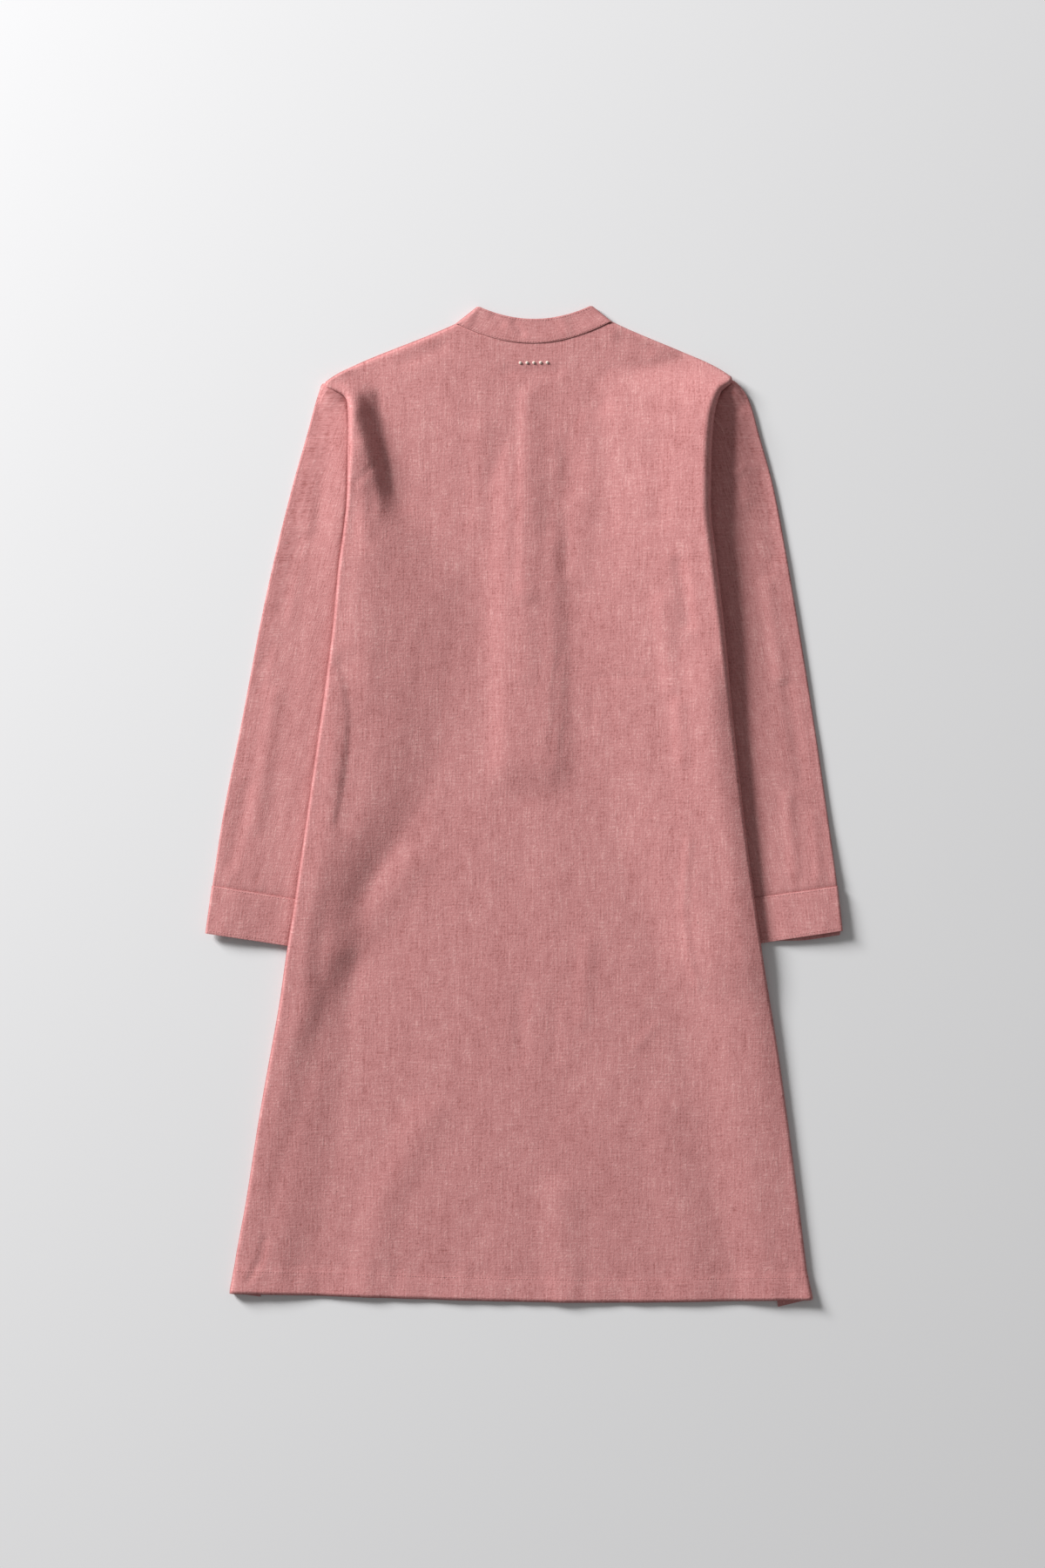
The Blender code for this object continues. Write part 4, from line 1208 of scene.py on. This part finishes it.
def buttonPiece(name, node):
    # A rim round a shallow dish on both faces, made from a cylinder with inset faces. It has no holes
    low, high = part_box(node)
    middle, radius, thick = (low + high) / 2, (high.x - low.x) / 2, high.z - low.z
    bm = bmesh.new()
    bmesh.ops.create_cone(
        bm, segments=buttonCut["segments"], radius1=radius, radius2=radius, depth=thick, cap_ends=True
    )
    for face in [face for face in bm.faces if abs(face.normal.z) > 0.9]:
        side = 1 if face.normal.z > 0 else -1
        for share in (buttonCut["rim"], buttonCut["slope"]):
            bmesh.ops.inset_region(bm, faces=[face], thickness=radius * share)
        bmesh.ops.translate(bm, verts=face.verts, vec=(0, 0, -side * thick * buttonCut["dish"]))
    bmesh.ops.translate(bm, verts=bm.verts, vec=middle)
    piece = newPiece(name, bm)
    piece.data.set_sharp_from_angle(angle=math.radians(buttonCut["sharp"]))
    roundEdges(piece, thick * buttonCut["round"], buttonCut["roundFrom"])
    dress(piece, plastic)
    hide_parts(node)


for number in range(1, 5):
    buttonPiece(f"shirtButton{number}", f"button_{number}")
print("placket and buttons made")

# ---- stitches ----

stitching = {"length": 0.0021, "pitch": 0.0030, "thick": 0.00042, "lift": 0.00012, "sides": 6, "rings": 4}
# Where the rows lie: from one X to the other, or as parts of a width, then how far up a band
hemRow = {"from": -0.309, "to": 0.303, "points": 150}
collarRows = {"Seam": (0.02, 0.98, 0.06), "Edge": (0.03, 0.97, 0.93)}
cuffRows = {"Seam": (0.25, 0.99, 0.045), "Edge": (0.25, 0.99, 0.93)}


def stitchRow(name, holder, route):
    # Short threads laid on the holder's upper surface along a route of points, each a flattened bead
    bm = bmesh.new()
    made = 0
    travelled = 0.0
    last = route[0]
    for point in route[1:]:
        span = (point - last).length
        heading = (point - last) / span
        while travelled < span:
            spot = last + heading * travelled
            found = topOf(holder, spot.x, spot.y)
            travelled += stitching["pitch"]
            if not found:
                continue
            surface, normal = found
            along = Vector((heading.x, heading.y, 0))
            along = (along - normal * along.dot(normal)).normalized()
            side = normal.cross(along)
            sides, rings = stitching["sides"], stitching["rings"]
            bead = bmesh.ops.create_uvsphere(bm, u_segments=sides, v_segments=rings, radius=1)["verts"]
            for vert in bead:
                x, y, z = vert.co.z, vert.co.x, vert.co.y
                spread = along * x * stitching["length"] / 2 + side * y * stitching["thick"] / 2
                vert.co = surface + normal * (stitching["lift"] + z * stitching["thick"] / 2) + spread
            made += 1
        travelled -= span
        last = point
    dress(newPiece(name, bm), stitchThread)
    print(name, made, "stitches")


def between(a, b, count, line):
    return [line(mix(a, b, i / count)) for i in range(count + 1)]


def hemPoint(x):
    return Vector((x, hemLine(x) + hem["turn"] - hemLook["stitchBelow"]))


def cuffPoint(side, part, along):
    plan = cuffPlan(side, part, along)
    return Vector((-plan.x if side == "left" else plan.x, plan.y))


bpy.context.view_layer.update()
stitchRow("hemStitches", back, between(hemRow["from"], hemRow["to"], hemRow["points"], hemPoint))
for name, (first, last, up) in collarRows.items():
    route = between(first, last, 40, lambda part: collarPoint(part, up))
    stitchRow(f"collar{name}Stitches", collar, route)
for side in ("left", "right"):
    for name, (first, last, along) in cuffRows.items():
        route = between(first, last, 20, lambda part: cuffPoint(side, part, along))
        stitchRow(f"{side}Cuff{name}Stitches", cuffs[side], route)

# ---- a plain row of knots under the collar ----

knots = {
    "count": 5,
    "across": 0.0290,
    "radius": 0.0011,
    "below": 0.0245,
    "slope": 0.0135,
    "thread": 0.55,  # in radii
    "bead": 0.8,
    "turnSteps": 12,
    "lift": 0.0004,
    "beadLift": 0.0007,
}


def knotRow():
    bm = bmesh.new()
    middle = neck["left"].lerp(neck["right"], 0.5)
    radius = knots["radius"]
    onEdge = Matrix.Rotation(math.pi / 2, 3, "X")
    for number in range(knots["count"]):
        x = middle.x + knots["across"] * (number / (knots["count"] - 1) - 0.5)
        y = middle.y - neck["backDrop"] - knots["below"] + knots["slope"] * (x - middle.x)
        surface, normal = topOf(back, x, y)
        # a wound knot: one turn of thread lying down, with its end tucked over the middle
        ring = bmesh.ops.create_circle(bm, segments=7, radius=radius * knots["thread"])["verts"]
        bmesh.ops.rotate(bm, verts=ring, cent=(0, 0, 0), matrix=onEdge)
        bmesh.ops.translate(bm, verts=ring, vec=(radius, 0, 0))
        edges = list({edge for vert in ring for edge in vert.link_edges})
        turn = {"cent": (0, 0, 0), "axis": (0, 0, 1), "angle": 2 * math.pi, "steps": knots["turnSteps"]}
        bmesh.ops.spin(bm, geom=ring + edges, use_merge=True, **turn)
        fresh = [vert for vert in bm.verts if vert.co.length < 0.01]
        bmesh.ops.translate(bm, verts=fresh, vec=surface + normal * knots["lift"])
        bead = bmesh.ops.create_uvsphere(bm, u_segments=8, v_segments=6, radius=radius * knots["bead"])
        bmesh.ops.translate(bm, verts=bead["verts"], vec=surface + normal * knots["beadLift"])
    bmesh.ops.remove_doubles(bm, verts=bm.verts, dist=weld)
    bmesh.ops.recalc_face_normals(bm, faces=bm.faces)
    dress(newPiece("knotRow", bm), knotThread)


knotRow()
print("stitches and knots made")

# ---- floor, light and camera ----

studio = {
    "floor": (0.80, 0.80, 0.81, 1),
    "floorSize": 6,
    "floorDrop": 0.0001,
    "floorRoughness": 0.9,
    "floorSpecular": 0.1,
    "keyDistance": 7.0,
    "keyTurn": 143,  # where the light comes from, counted from +X
    "keyHeight": 21,
    "keySize": 2.1,
    "keyPower": 930,
    "fill": 0.22,
    "room": (1, 0.99, 0.98, 1),
    "lens": 60,
    "frame": 1.568,  # the picture's height, in lengths of the kurta
    "aside": (-0.0016, 0.0244),  # the camera stands this far from the kurta's middle
}


def addFloor():
    bm = bmesh.new()
    bmesh.ops.create_grid(bm, x_segments=1, y_segments=1, size=studio["floorSize"])
    bmesh.ops.translate(bm, verts=bm.verts, vec=(0, 0, -studio["floorDrop"]))
    floor = newPiece("floor", bm)
    look = {"Base Color": "floor", "Roughness": "floorRoughness", "Specular IOR Level": "floorSpecular"}
    material = Graph("plainFloor").finish({key: studio[value] for key, value in look.items()})
    floor.data.materials.append(material)


def addLight():
    turn, height = math.radians(studio["keyTurn"]), math.radians(studio["keyHeight"])
    toLight = Vector((math.cos(turn) * math.cos(height), math.sin(turn) * math.cos(height), math.sin(height)))
    light = bpy.data.lights.new("key", "AREA")
    light.shape = "SQUARE"
    light.size = studio["keySize"]
    light.energy = studio["keyPower"]
    key = addObject("key", light)
    key.location = toLight * studio["keyDistance"]
    key.rotation_euler = toLight.to_track_quat("Z", "Y").to_euler()
    world = bpy.data.worlds.new("room")
    world.use_nodes = True
    background = world.node_tree.nodes["Background"]
    background.inputs["Color"].default_value = studio["room"]
    background.inputs["Strength"].default_value = studio["fill"]
    bpy.context.scene.world = world


def addCamera():
    low, high = cadBox
    middle = (Vector(low) + Vector(high)) / 2
    tall = (high[1] - low[1]) * studio["frame"]
    asideX, asideY = studio["aside"]
    lens = bpy.data.cameras.new("camera")
    lens.lens = studio["lens"]
    camera = addObject("camera", lens)
    camera.location = (middle.x + asideX, middle.y + asideY, tall * lens.lens / lens.sensor_width)
    bpy.context.scene.camera = camera


addFloor()
addLight()
addCamera()
bpy.context.scene.view_settings.view_transform = "Standard"
